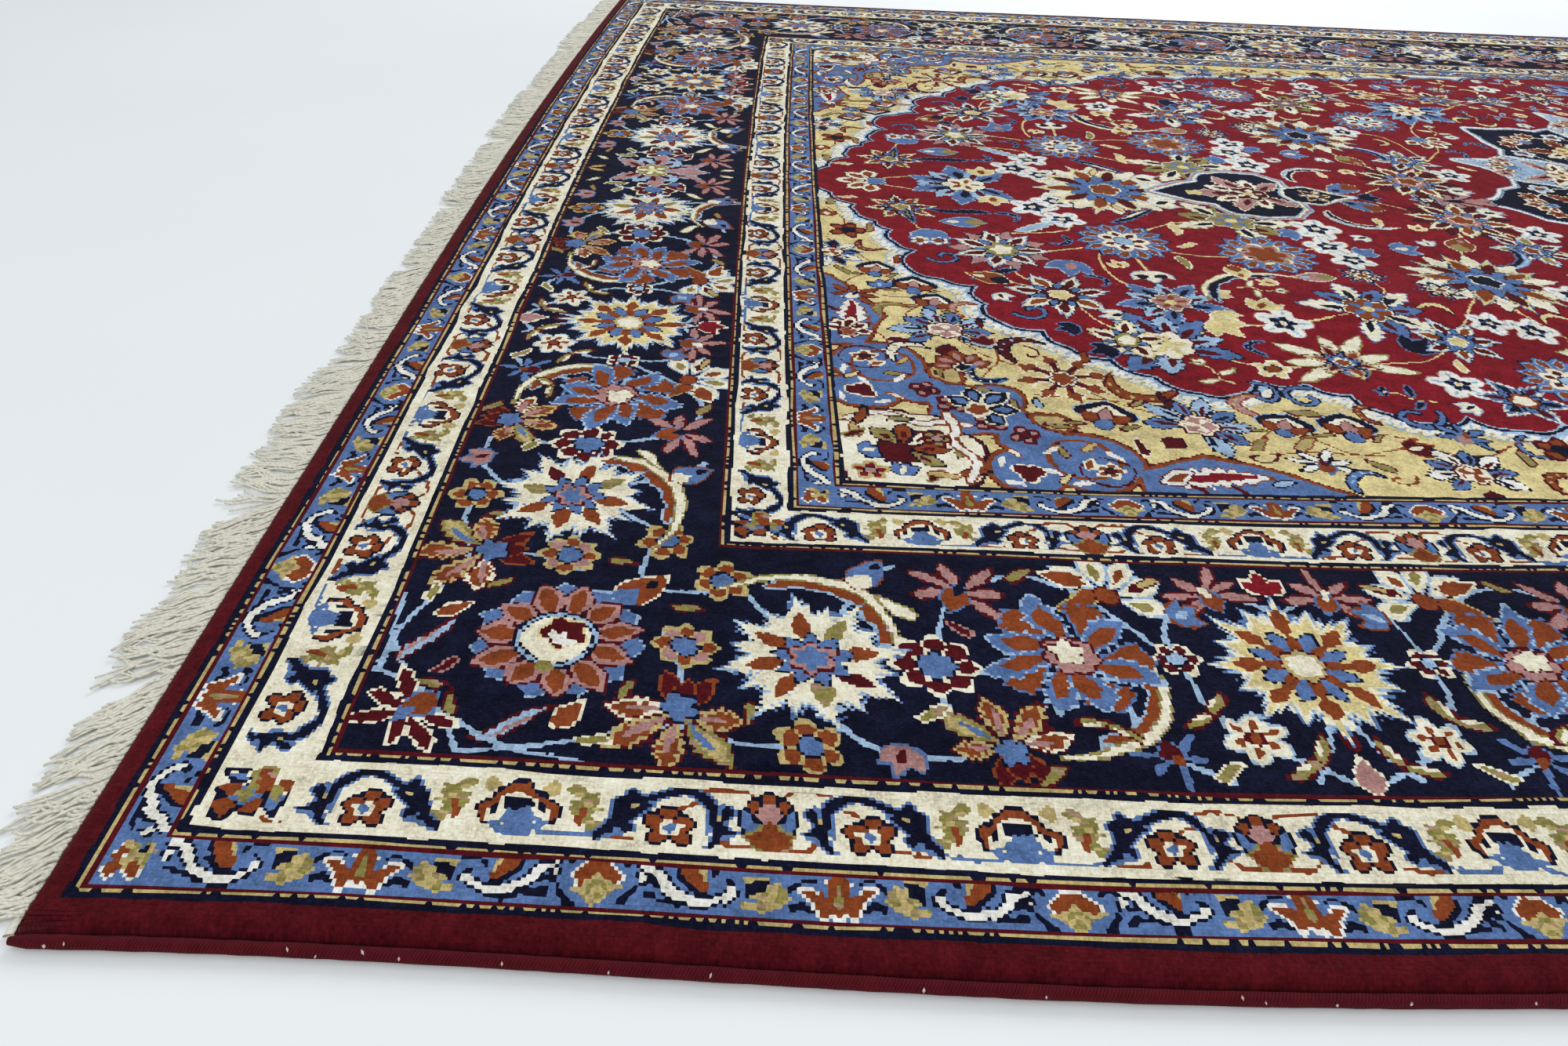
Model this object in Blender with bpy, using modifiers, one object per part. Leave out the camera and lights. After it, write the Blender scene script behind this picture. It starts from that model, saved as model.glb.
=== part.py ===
"""A Persian medallion rug lying on a floor: one knotted sheet, an overcast cord along each long
side and a cotton fringe at each short end.

Metres, +Z up. +X runs along the rug's length and +Y across its width, from the near side to the
far one. The origin is on the floor, at the middle of the footprint. Places on the rug are given
as (along, across) from the pile's near left corner, as if the rug lay flat and straight. The
function lay() then turns them into the slightly uneven shape in which it lies.
"""

import math
import random

import bmesh
import bpy
from mathutils import Vector

# Driving dimensions
PILE_LENGTH = 4.0
RUG_WIDTH = 2.5  # over both side cords
THICKNESS = 0.011  # foundation and pile together
SIDE_CORD = 0.008  # diameter of the overcast cord
FRINGE_REACH = 0.048  # the longest lock, before its clump's share
GAP = 0.0003  # between pieces that touch

PILE_WIDTH = RUG_WIDTH - 2 * (SIDE_CORD + GAP)

# How the rug lies: the long sides wander, and the far part has crept along the rug
SIDE_WAVES = (
    # size, wavelength, share left at the other end
    (0.010, 1.30, 0.4),
    (0.004, 2.70, 1.0),
)
FAR_SHARE = 0.4  # how much of the near side's wander reaches the far side
CREEP = 0.045
CREEP_STARTS = 0.82

# Low ridges that stay after the rug was folded for storage
RIDGES = (
    # along, across, degrees from the length, half length, half width, height
    (0.58, 0.36, 4.0, 0.32, 0.10, 0.004),
    (1.10, 0.86, 6.0, 0.48, 0.12, 0.007),
    (0.34, 1.06, 12.0, 0.32, 0.11, 0.005),
    (0.46, 1.88, -8.0, 0.36, 0.12, 0.008),
    (1.70, 1.72, -5.0, 0.50, 0.12, 0.006),
    (2.62, 1.20, 78.0, 0.60, 0.13, 0.007),
    (3.20, 0.62, 16.0, 0.42, 0.12, 0.006),
    (3.10, 2.02, -14.0, 0.45, 0.12, 0.006),
)

# The sheet's mesh
CELLS_ALONG = 44
CELLS_ACROSS = 28
EDGE_ROUNDING = 0.003

# Fringe: locks of warp ends, rooted in a narrow woven strip
STRIP_WIDTH = 0.008
STRIP_HEIGHT = 0.005
STRIP_LIFT = 0.0005
LOCKS = 130
LOCK_WIDTH = 0.009
LOCK_HEIGHT = 0.0045
TIP_SHARE = 0.55  # a lock's size at its tip
ROOT_LIFT = 0.0012
END_MARGIN = 0.010  # from the rug's side to the first lock
LEVEL_FROM = 0.30  # share of a lock's length at which it reaches the floor
CLUMPS = (
    # from, to (share of the width), length share, lean towards the near side, gather
    (0.00, 0.04, 0.80, 0.45, 0.10),
    (0.04, 0.08, 0.86, 0.60, 0.26),
    (0.08, 0.12, 1.00, 0.50, 0.22),
    (0.12, 0.16, 0.94, 0.30, 0.24),
    (0.16, 0.26, 1.06, 0.22, 0.10),
    (0.26, 0.36, 0.84, 0.28, 0.10),
    (0.36, 0.44, 0.80, 0.40, 0.14),
    (0.44, 0.56, 0.92, 0.22, 0.08),
    (0.56, 0.68, 1.00, 0.12, 0.10),
    (0.68, 0.80, 0.90, 0.30, 0.10),
    (0.80, 0.91, 1.00, 0.18, 0.12),
    (0.91, 1.00, 0.86, 0.10, 0.16),
)
WIGGLE = 0.0016  # how far a lock's middle strays sideways
SEED = 7


def bump(q):
    """A soft hump that is 1 at q = 0 and fades to nothing at q = -1 and 1."""
    return (1 - q * q) ** 2 if abs(q) < 1 else 0.0


def ridge_height(along, across):
    """How far the rug is lifted off the floor at a place."""
    height = 0.0
    for ridge_along, ridge_across, degrees, half_length, half_width, top in RIDGES:
        turn = math.radians(degrees)
        from_along = along - ridge_along
        from_across = across - ridge_across
        lengthwise = from_along * math.cos(turn) + from_across * math.sin(turn)
        crosswise = -from_along * math.sin(turn) + from_across * math.cos(turn)
        height += top * bump(lengthwise / half_length) * bump(crosswise / half_width)
    return height


def lay(along, across, height=0.0):
    """The point, from the flat rug's corner, at which a place of the flat rug lies."""
    wander = 0.0
    for size, wavelength, left in SIDE_WAVES:
        fade = 1 - (1 - left) * along / PILE_LENGTH
        wander += size * fade * math.cos(math.tau * along / wavelength)
    wander *= 1 - (1 - FAR_SHARE) * across / PILE_WIDTH
    crept = max(0.0, (across - CREEP_STARTS) / (PILE_WIDTH - CREEP_STARTS))
    lift = ridge_height(along, across) + height
    return Vector((along + CREEP * crept**2, across + wander, lift))


def new_collection(name):
    collection = bpy.data.collections.new(name)
    bpy.context.scene.collection.children.link(collection)
    return collection


def new_material(name, colour, roughness):
    material = bpy.data.materials.new(name)
    material.use_nodes = True
    shader = material.node_tree.nodes["Principled BSDF"]
    shader.inputs["Base Color"].default_value = (*colour, 1.0)
    shader.inputs["Roughness"].default_value = roughness
    shader.inputs["Metallic"].default_value = 0.0
    return material


def add_object(name, data, collection, material):
    made = bpy.data.objects.new(name, data)
    data.materials.append(material)
    collection.objects.link(made)
    return made


def grid_mesh(name, cells_long, cells_wide):
    """A flat grid of quads over the unit square from (0, 0) to (1, 1), facing down."""
    shape = bmesh.new()
    bmesh.ops.create_grid(shape, x_segments=cells_long, y_segments=cells_wide, size=0.5)
    bmesh.ops.translate(shape, verts=shape.verts, vec=(0.5, 0.5, 0.0))
    bmesh.ops.reverse_faces(shape, faces=shape.faces)
    mesh = bpy.data.meshes.new(name)
    shape.to_mesh(mesh)
    shape.free()
    return mesh


def add_thickness(made, thickness):
    """Grows an underside upwards into a closed sheet."""
    sheet = made.modifiers.new("thickness", "SOLIDIFY")
    sheet.thickness = thickness
    sheet.offset = -1.0


def make_pile(collection, material):
    """The knotted sheet: its underside is the grid, and its thickness grows up from that."""
    mesh = grid_mesh("pile_rug", CELLS_ALONG, CELLS_ACROSS)
    for vertex in mesh.vertices:
        vertex.co = lay(vertex.co.x * PILE_LENGTH, vertex.co.y * PILE_WIDTH)
    made = add_object("pile_rug", mesh, collection, material)
    add_thickness(made, THICKNESS)
    rounding = made.modifiers.new("rounding", "BEVEL")
    rounding.width = EDGE_ROUNDING
    rounding.segments = 1
    rounding.limit_method = "ANGLE"
    rounding.angle_limit = math.radians(60)
    return made


def make_side_cord(name, across, collection, material):
    """The overcast cord along one long side, beside the sheet's edge."""
    curve = bpy.data.curves.new(name, "CURVE")
    curve.dimensions = "3D"
    curve.bevel_depth = SIDE_CORD / 2
    curve.bevel_resolution = 2
    curve.use_fill_caps = True
    line = curve.splines.new("POLY")
    line.points.add(CELLS_ALONG)
    outwards = -1 if across == 0 else 1
    for step, point in enumerate(line.points):
        centre = lay(step / CELLS_ALONG * PILE_LENGTH, across, SIDE_CORD / 2)
        centre.y += outwards * (GAP + SIDE_CORD / 2)
        point.co = (*centre, 1.0)
    return add_object(name, curve, collection, material)


def clump_at(share):
    """The row of CLUMPS that a lock at this share of the width belongs to."""
    for clump in CLUMPS:
        if share <= clump[1]:
            return clump
    return CLUMPS[-1]


def lock_path(share, draw):
    """A lock as (out from the pile's end, sideways to the near side, height, size) steps."""
    start, stop, length_share, lean, gather = clump_at(share)
    length = FRINGE_REACH * length_share * draw.uniform(0.90, 1.0)
    to_middle = (share - (start + stop) / 2) * PILE_WIDTH
    sideways = lean * length + gather * to_middle
    stray = draw.uniform(-WIGGLE, WIGGLE)
    steps = ((0.0, ROOT_LIFT), (LEVEL_FROM, 0.0), (0.55, 0.0), (0.80, 0.0), (1.0, 0.0))
    for at, height in steps:
        bend = stray * math.sin(math.pi * at)
        size = 1 - (1 - TIP_SHARE) * at
        yield at * length, sideways * at**1.4 + bend, height, size


def lock_profile(collection):
    """The three-sided section of a lock, flat side down."""
    curve = bpy.data.curves.new("lock_section", "CURVE")
    curve.dimensions = "2D"
    line = curve.splines.new("POLY")
    line.points.add(2)
    half = LOCK_WIDTH / 2
    for point, (x, y) in zip(line.points, ((-half, 0), (half, 0), (0, LOCK_HEIGHT))):
        point.co = (x, y, 0.0, 1.0)
    line.use_cyclic_u = True
    section = bpy.data.objects.new("lock_section", curve)
    collection.objects.link(section)
    section.hide_render = True
    section.display_type = "WIRE"
    return section


def make_locks(name, end_point, section, collection):
    """All locks of one fringe as one mesh of separate closed bodies, to join to the strip."""
    curve = bpy.data.curves.new(name, "CURVE")
    curve.dimensions = "3D"
    curve.twist_mode = "Z_UP"
    curve.bevel_mode = "OBJECT"
    curve.bevel_object = section
    curve.use_fill_caps = True
    draw = random.Random(SEED)
    for lock in range(LOCKS):
        margin = END_MARGIN / PILE_WIDTH
        share = margin + (1 - 2 * margin) * lock / (LOCKS - 1)
        line = curve.splines.new("POLY")
        path = list(lock_path(share, draw))
        line.points.add(len(path) - 1)
        for point, (out, sideways, height, size) in zip(line.points, path):
            place = end_point(share, STRIP_WIDTH / 2 + out, sideways, height)
            point.co = (*place, 1.0)
            point.radius = size
    shaped = bpy.data.objects.new(name, curve)
    collection.objects.link(shaped)
    bpy.context.view_layer.update()
    seen = shaped.evaluated_get(bpy.context.evaluated_depsgraph_get())
    mesh = bpy.data.meshes.new_from_object(seen)
    mesh.name = name
    bpy.data.objects.remove(shaped)
    shape = bmesh.new()
    shape.from_mesh(mesh)
    bmesh.ops.remove_doubles(shape, verts=shape.verts, dist=0.00001)
    bmesh.ops.recalc_face_normals(shape, faces=shape.faces)
    shape.to_mesh(mesh)
    shape.free()
    made = bpy.data.objects.new(name, mesh)
    collection.objects.link(made)
    made.hide_render = True
    made.display_type = "WIRE"
    return made


def make_fringe(name, left, collection, helpers, material, section):
    """The fringe of one short end. The right end's is the left one turned half round."""

    def end_point(share, out, sideways, height):
        if left:
            place = lay(0.0, share * PILE_WIDTH, height)
            return Vector((place.x - GAP - out, place.y - sideways, height))
        place = lay(PILE_LENGTH, (1 - share) * PILE_WIDTH, height)
        return Vector((place.x + GAP + out, place.y + sideways, height))

    mesh = grid_mesh(name, 1, CELLS_ACROSS)
    for vertex in mesh.vertices:
        share = vertex.co.y
        vertex.co = end_point(share, (1 - vertex.co.x) * STRIP_WIDTH, 0.0, STRIP_LIFT)
    made = add_object(name, mesh, collection, material)
    add_thickness(made, STRIP_HEIGHT)
    union = made.modifiers.new("locks", "BOOLEAN")
    union.operation = "UNION"
    union.solver = "EXACT"
    union.object = make_locks(name + "_locks", end_point, section, helpers)
    return made


def centre_on_floor(made, helpers):
    """Moves everything so that the origin is under the middle of the footprint."""
    bpy.context.view_layer.update()
    graph = bpy.context.evaluated_depsgraph_get()
    corners = []
    for one in made:
        seen = one.evaluated_get(graph)
        mesh = seen.to_mesh()
        corners += [seen.matrix_world @ vertex.co for vertex in mesh.vertices]
        seen.to_mesh_clear()
    middle = [
        (min(c[axis] for c in corners) + max(c[axis] for c in corners)) / 2
        for axis in range(2)
    ]
    lowest = min(c.z for c in corners)
    for one in [*made, *helpers.objects]:
        one.location -= Vector((middle[0], middle[1], lowest))


def main():
    for old in list(bpy.data.objects):
        bpy.data.objects.remove(old)
    parts = new_collection("persian_rug")
    helpers = new_collection("helpers")
    wool = new_material("crimson_wool_pile", (0.26, 0.016, 0.030), 0.95)
    cord = new_material("dark_red_wool_cord", (0.15, 0.010, 0.020), 0.90)
    cotton = new_material("natural_cotton", (0.66, 0.63, 0.53), 0.90)
    section = lock_profile(helpers)
    made = [
        make_pile(parts, wool),
        make_side_cord("side_cord_near", 0.0, parts, cord),
        make_side_cord("side_cord_far", PILE_WIDTH, parts, cord),
        make_fringe("fringe_left", True, parts, helpers, cotton, section),
        make_fringe("fringe_right", False, parts, helpers, cotton, section),
    ]
    centre_on_floor(made, helpers)


main()
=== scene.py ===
import math
import bpy
import numpy as np
from mathutils import Matrix, Vector


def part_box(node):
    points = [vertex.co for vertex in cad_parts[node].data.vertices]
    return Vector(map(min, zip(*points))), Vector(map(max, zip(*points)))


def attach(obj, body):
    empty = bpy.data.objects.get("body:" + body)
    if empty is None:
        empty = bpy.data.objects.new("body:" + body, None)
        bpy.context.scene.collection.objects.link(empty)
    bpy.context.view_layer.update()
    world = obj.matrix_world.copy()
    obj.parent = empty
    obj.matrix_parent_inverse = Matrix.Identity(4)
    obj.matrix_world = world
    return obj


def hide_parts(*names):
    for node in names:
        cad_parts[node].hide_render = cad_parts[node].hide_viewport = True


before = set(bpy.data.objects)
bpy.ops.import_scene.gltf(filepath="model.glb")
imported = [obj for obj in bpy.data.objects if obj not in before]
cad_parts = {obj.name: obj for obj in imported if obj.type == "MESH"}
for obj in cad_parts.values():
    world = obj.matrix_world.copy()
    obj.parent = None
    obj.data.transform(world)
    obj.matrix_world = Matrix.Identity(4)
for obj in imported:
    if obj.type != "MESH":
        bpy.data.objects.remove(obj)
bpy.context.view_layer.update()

TAU = math.tau

# ---- sizes of the rug, in metres, as the solids have them
PILE_LENGTH = 4.0
PILE_WIDTH = 2.4834
THICKNESS = 0.011
GAP = 0.0003             # between the pile and what runs round it
SIDE_WAVES = ((0.010, 1.30, 0.4), (0.004, 2.70, 1.0))     # size, wavelength, share left at the far end
FAR_SHARE = 0.4          # how much of those waves is left across the rug
CREEP = 0.045
CREEP_STARTS = 0.82
RIDGES = (  # along, across, degrees, half length, half width, height
    (0.58, 0.36, 4.0, 0.32, 0.10, 0.004), (1.10, 0.86, 6.0, 0.48, 0.12, 0.007),
    (0.34, 1.06, 12.0, 0.32, 0.11, 0.005), (0.46, 1.88, -8.0, 0.36, 0.12, 0.008),
    (1.70, 1.72, -5.0, 0.50, 0.12, 0.006), (2.62, 1.20, 78.0, 0.60, 0.13, 0.007),
    (3.20, 0.62, 16.0, 0.42, 0.12, 0.006), (3.10, 2.02, -14.0, 0.45, 0.12, 0.006))


def bump(q):
    return np.where(np.abs(q) < 1, (1 - q * q) ** 2, 0.0)


def ridge_height(along, across):
    height = np.zeros(np.broadcast(along, across).shape)
    for x, y, degrees, half_length, half_width, top in RIDGES:
        c, s = math.cos(math.radians(degrees)), math.sin(math.radians(degrees))
        da, dc = along - x, across - y
        lengthways = bump((da * c + dc * s) / half_length)
        height = height + top * lengthways * bump((-da * s + dc * c) / half_width)
    return height


def raw_lay(along, across):
    """The flat rug's point as it lies on the floor, seen from above."""
    wander = sum(size * (1 - (1 - left) * along / PILE_LENGTH) * np.cos(TAU * along / wavelength)
                 for size, wavelength, left in SIDE_WAVES)
    wander = wander * (1 - (1 - FAR_SHARE) * across / PILE_WIDTH)
    crept = np.maximum(0, (across - CREEP_STARTS) / (PILE_WIDTH - CREEP_STARTS))
    return along + CREEP * crept ** 2, across + wander


edge_run = np.linspace(0, PILE_LENGTH, 45)
low_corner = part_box("pile_rug")[0]
SHIFT_X = low_corner[0]
SHIFT_Y = low_corner[1] - raw_lay(edge_run, 0.0 * edge_run)[1].min()


def lay(along, across, height=0.0):
    """Where a point of the flat rug is in the frame; height is above the rug's underside."""
    along, across = np.asarray(along, float), np.asarray(across, float)
    x, y = raw_lay(along, across)
    return np.stack(np.broadcast_arrays(x + SHIFT_X, y + SHIFT_Y, ridge_height(along, across) + height), -1)


# ---- the knot chart of one quarter, painted motif by motif
DEPTH = 0.4524           # of the whole border; the chart's unit
HALF_LONG = PILE_LENGTH / 2 / DEPTH
HALF_WIDE = PILE_WIDTH / 2 / DEPTH
KNOT = 0.0024 / DEPTH
COLS = round(HALF_LONG / KNOT)
ROWS = round(HALF_WIDE / KNOT)

NAMES = ("crimson", "maroon", "navy", "blue", "sky", "ivory", "tan", "rust", "olive", "rose", "white",
         "gold")
(CRIMSON, MAROON, NAVY, BLUE, SKY, IVORY, TAN, RUST, OLIVE, ROSE, WHITE, GOLD) = range(len(NAMES))

# in the tables of motifs and in drawings a wool is a letter, and a dash is none
LETTERS = dict(zip("cmkbsitropwg-", (*range(len(NAMES)), None)))

chart = np.full((ROWS, COLS), CRIMSON, np.uint8)


class Place:
    """A spot on the chart with its own axes: x and y in border depths times size."""

    def __init__(self, x=0.0, y=0.0, turn=0.0, size=1.0, flip=1, axes=None, size_all=None):
        c, s = math.cos(turn), math.sin(turn)
        self.origin = np.array((x, y), float)
        self.axes = size * np.array(((c, -s * flip), (s, c * flip))) if axes is None else axes
        self.size = size if size_all is None else size_all

    def at(self, x, y, turn=0.0, size=1.0, flip=1):
        inner = Place(x, y, math.radians(turn), size, flip)
        return Place(*(self.origin + self.axes @ inner.origin), axes=self.axes @ inner.axes,
                     size_all=self.size * size)

    def point(self, x, y):
        return self.origin + self.axes @ np.array((x, y))


NEAR = Place()
LEFT = Place(axes=np.array(((0.0, 1.0), (1.0, 0.0))), size_all=1.0)


def smooth_noise(seed, pitch):
    """A soft wave over the chart, between -1 and 1."""
    rng = np.random.default_rng(seed)
    rows, cols = int(ROWS / pitch) + 3, int(COLS / pitch) + 3
    coarse = rng.uniform(-1, 1, (rows, cols))
    v, u = np.arange(ROWS) / pitch, np.arange(COLS) / pitch
    j, i = v.astype(int), u.astype(int)
    b, a = v - j, u - i
    b, a = (b * b * (3 - 2 * b))[:, None], (a * a * (3 - 2 * a))[None, :]
    c00, c01 = coarse[j][:, i], coarse[j][:, i + 1]
    c10, c11 = coarse[j + 1][:, i], coarse[j + 1][:, i + 1]
    return (c00 * (1 - a) + c01 * a) * (1 - b) + (c10 * (1 - a) + c11 * a) * b


WOBBLE_X = smooth_noise(11, 7) * 0.7 * KNOT + smooth_noise(12, 19) * 0.6 * KNOT
WOBBLE_Y = smooth_noise(13, 7) * 0.7 * KNOT + smooth_noise(14, 19) * 0.6 * KNOT
RAGGED = np.random.default_rng(15).uniform(-0.22, 0.22, (ROWS, COLS))


def seen_from(place, reach, wobble=1.0, unit=1.0):
    """The part of the chart within reach of a place, and where its knots are for the place, in units."""
    cx, cy = place.origin
    i0, i1 = max(0, int((cx - reach) / KNOT)), min(COLS, int((cx + reach) / KNOT) + 1)
    j0, j1 = max(0, int((cy - reach) / KNOT)), min(ROWS, int((cy + reach) / KNOT) + 1)
    part = np.s_[j0:max(j0, j1), i0:max(i0, i1)]
    x = (np.arange(i0, max(i0, i1)) + 0.5)[None, :] * KNOT - cx + wobble * WOBBLE_X[part]
    y = (np.arange(j0, max(j0, j1)) + 0.5)[:, None] * KNOT - cy + wobble * WOBBLE_Y[part]
    (a, b), (c, d) = np.linalg.inv(place.axes) / unit
    return part, a * x + b * y, c * x + d * y


def paint(place, reach, shape, *layers):
    """A shape in layers: a wool wherever the knot is nearer to the shape than so many knots."""
    part, x, y = seen_from(place, reach * place.size + 5 * KNOT)
    if not x.size:
        return
    out = shape(x, y) * (place.size / KNOT) + RAGGED[part]
    for grow, wool in layers:
        chart[part][out < grow] = wool


def draw(place, make, letters="", *values):
    """A motif in the wools that its letters name."""
    make(place, *(LETTERS[letter] for letter in letters), *values)


def set_out(table, side=NEAR):
    """Draws a table's motifs. Its rows give x, y, turn, size, motif, its wools and other values."""
    for x, y, turn, size, *what in table:
        draw(side.at(x, y, turn, size), *what)


# ---- shapes, about a unit radius
def disc(r=1.0, x0=0.0):
    return lambda x, y: np.hypot(x - x0, y) - r


def lobes(n, r=1.0, cut=0.25, turn=0.0):
    def shape(x, y):
        a = np.arctan2(y, x) - turn
        return np.hypot(x, y) - r * (1 - cut * (1 - np.abs(np.cos(n * a / 2))))
    return shape


def spikes(n, r=1.0, cut=0.4):
    def shape(x, y):
        a = np.arctan2(y, x) * n / TAU
        tip = np.abs((a % 1) - 0.5) * 2
        return np.hypot(x, y) - r * (1 - cut * (1 - tip))
    return shape


def jagged(n, r=1.0, cut=0.40, teeth=4, bite=0.14, turn=0.0):
    """A star of n points whose edges are toothed towards the points."""
    def shape(x, y):
        along = (np.arctan2(y, x) - turn) * n / TAU
        tip = 1 - 2 * np.abs(along - np.round(along))
        notch = np.where(tip > 0.97, 0, 1 - (tip * teeth) % 1)
        return np.hypot(x, y) - r * (1 - cut * (1 - tip) - bite * notch)
    return shape


def petal(start, length, width, fat=0.55, bend=0.0, teeth=0, bite=0.15):
    power = math.log(0.5) / math.log(fat)

    def shape(x, y):
        u = (x - start) / length
        inside = np.clip(u, 0, 1)
        y = y - bend * length * np.sin(np.pi * inside / 2) ** 2
        half = width / 2 * np.sin(np.pi * inside ** power)
        if teeth:
            half = half * (1 - bite * 2 * np.abs((inside * teeth) % 1 - 0.5))
        return np.maximum(np.abs(y) - half, np.maximum(-u, u - 1) * length)
    return shape


def route(points, steps=8):
    """A smooth line through points."""
    p = np.array(points, float)
    if len(p) < 3:
        return p
    q = np.vstack((2 * p[0] - p[1], p, 2 * p[-1] - p[-2]))
    made = []
    for a, b, c, d in zip(q, q[1:], q[2:], q[3:]):
        for t in np.arange(steps) / steps:
            made.append(0.5 * (2 * b + (c - a) * t + (2 * a - 5 * b + 4 * c - d) * t**2
                               + (3 * b - 3 * c + d - a) * t**3))
    made.append(p[-1])
    return np.array(made)


def near_line(line, half=0.0):
    """A band along straight pieces. Its half width is one number, or one for each point."""
    half = np.broadcast_to(half, len(line))

    def shape(x, y):
        best = np.full(np.broadcast(x, y).shape, 1e9)
        for (x0, y0), (x1, y1), w0, w1 in zip(line, line[1:], half, half[1:]):
            dx, dy = x1 - x0, y1 - y0
            t = np.clip(((x - x0) * dx + (y - y0) * dy) / (dx * dx + dy * dy + 1e-12), 0, 1)
            best = np.minimum(best, np.hypot(x - x0 - t * dx, y - y0 - t * dy) - w0 - (w1 - w0) * t)
        return best
    return shape


def ribbon(points, widths):
    """A band along a smooth line, its half width given at steps along it."""
    line = route(points, 5)
    return near_line(line, np.interp(np.linspace(0, 1, len(line)), np.linspace(0, 1, len(widths)), widths))


def vine(place, points, wool=SKY, thick=0.8, steps=6):
    """A thin line through points. It is painted in short lengths, so that each one's window is small."""
    line = np.array([place.point(*p) for p in route(points, steps)])
    for i in range(0, len(line) - 1, 3):
        part = line[i:i + 4]
        mid = part.mean(0)
        reach = np.abs(part - mid).max() * 1.5
        paint(Place(*mid), reach, near_line(part - mid), (thick, wool))


def spokes(place, n, shape, reach, *layers, turn=0.0, span=360.0, skip=()):
    step = span / n
    for k in range(n):
        if k not in skip:
            paint(place.at(0, 0, turn + k * step), reach, shape, *layers)


# ---- small motifs (radius 1 = the motif's size)
def six(place, fill=RUST, rim=IVORY, heart=BLUE, n=6):
    """A small flower of round petals."""
    paint(place, 1.2, lobes(n, 1.0, 0.42), (0.6, rim))
    spokes(place, n, petal(0.25, 0.62, 0.56, 0.6), 1, (0, fill))
    paint(place, 0.5, disc(0.36), (0.5, NAVY), (-0.2, heart))


def dots_rosette(place, fill=MAROON, rim=IVORY, heart=SKY, n=6):
    paint(place, 1.2, lobes(n, 1.0, 0.3), (0.7, rim), (-0.3, fill))
    paint(place, 0.5, disc(0.22), (0.4, NAVY), (0, heart))


def aster(place, fill=MAROON, other=BLUE, rim=ROSE, heart=BLUE, n=8):
    """A rosette whose petals take turns in colour."""
    paint(place, 1.2, lobes(n, 1.0, 0.3), (0.6, rim))
    for k in range(n):
        paint(place.at(0, 0, k * 360 / n), 1, petal(0.3, 0.62, 0.5, 0.6), (0, fill if k % 2 else other))
    paint(place, 0.6, lobes(n, 0.42, 0.2), (0.8, NAVY), (0, heart))


def white_flower(place):
    paint(place, 1.2, lobes(6, 1.0, 0.40), (0.9, SKY), (0.1, IVORY))
    spokes(place, 6, petal(0.34, 0.40, 0.22, 0.5), 1, (0.3, RUST))
    paint(place, 0.4, disc(0.24), (0.6, MAROON), (-0.3, RUST))


def five_white(place):
    """One of the clustered white flowers."""
    paint(place, 1.2, lobes(5, 1.0, 0.42), (0.9, ROSE), (0.2, WHITE))
    spokes(place, 5, petal(0.50, 0.40, 0.10, 0.5), 1.0, (0.2, SKY))
    paint(place, 0.6, lobes(5, 0.46, 0.5), (0.4, NAVY))
    spokes(place, 5, disc(0.07, 0.30), 0.5, (0, BLUE), turn=36)
    paint(place, 0.3, disc(0.15), (0.2, WHITE), (-0.6, GOLD))


def lily(place, petals=ROSE, rim=MAROON, heart=RUST, cup=BLUE, n=6):
    """A star of slender petals seen from the side, its cup at the back."""
    for k in range(n):
        turn = -104 + 208 * k / (n - 1)
        bend = 0.16 if turn > 0 else -0.16
        paint(place.at(-0.05, 0, turn), 1.3, petal(0.05, 1.02 - 0.2 * (k % 2), 0.27, 0.60, bend, 3, 0.3),
              (1.0, rim), (0.1, petals))
    paint(place.at(-0.30, 0, 0), 0.7, petal(-0.25, 0.76, 0.50, 0.45), (0.9, BLUE if cup != BLUE else rim),
          (0, cup))
    paint(place.at(-0.16, 0, 0), 0.5, petal(0, 0.50, 0.22, 0.45), (0, heart))


def tulip(place, fill=MAROON, rim=IVORY, heart=None):
    """Three pointed petals on a short stem, opening along x."""
    for layer in ((0.9, rim), (0, fill)):
        for turn, length in ((-38, 0.85), (38, 0.85), (0, 1.0)):
            paint(place.at(-0.4, 0, turn), 1.6, petal(0, length * 1.3, 0.55, 0.45), layer)
    if heart is not None:
        paint(place.at(-0.3, 0), 0.8, petal(0, 0.7, 0.34, 0.5), (0.1, heart))


def small_leaf(place, fill=OLIVE, rim=MAROON, bend=0.35):
    paint(place, 1.2, petal(-0.6, 1.5, 0.55, 0.4, bend), (0.9, rim), (0, fill))


def two_leaves(place):
    for way in (1, -1):
        here = place.at(0.1, 0.20 * way, 46 * way, 1.0, way)
        paint(here, 1.4, petal(-0.3, 1.3, 0.44, 0.45, 0.3), (0.9, MAROON), (0, OLIVE))
        paint(here, 1.2, petal(0.0, 0.75, 0.18, 0.45, 0.2), (0.2, IVORY))


def heart_leaf(p):
    paint(p, 1.2, petal(-0.8, 1.7, 0.9, 0.38), (1.0, IVORY), (0, RUST))


def plume(place, fill, rim, rib, bend):
    """A toothed feather leaf, bent to one side."""
    paint(place, 1.4, petal(-1, 2, 0.5, 0.42, bend, 7, 0.45), (1.0, rim), (0, fill))
    if rib is not None:
        paint(place, 1.2, petal(-0.8, 1.4, 0.12, 0.4, bend), (0.1, rib))


SAZ_LINE = np.array((
    (-1.0, -0.30), (-0.60, 0.05), (-0.10, 0.25), (0.45, 0.18), (0.85, -0.15), (1.0, -0.50)))


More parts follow.
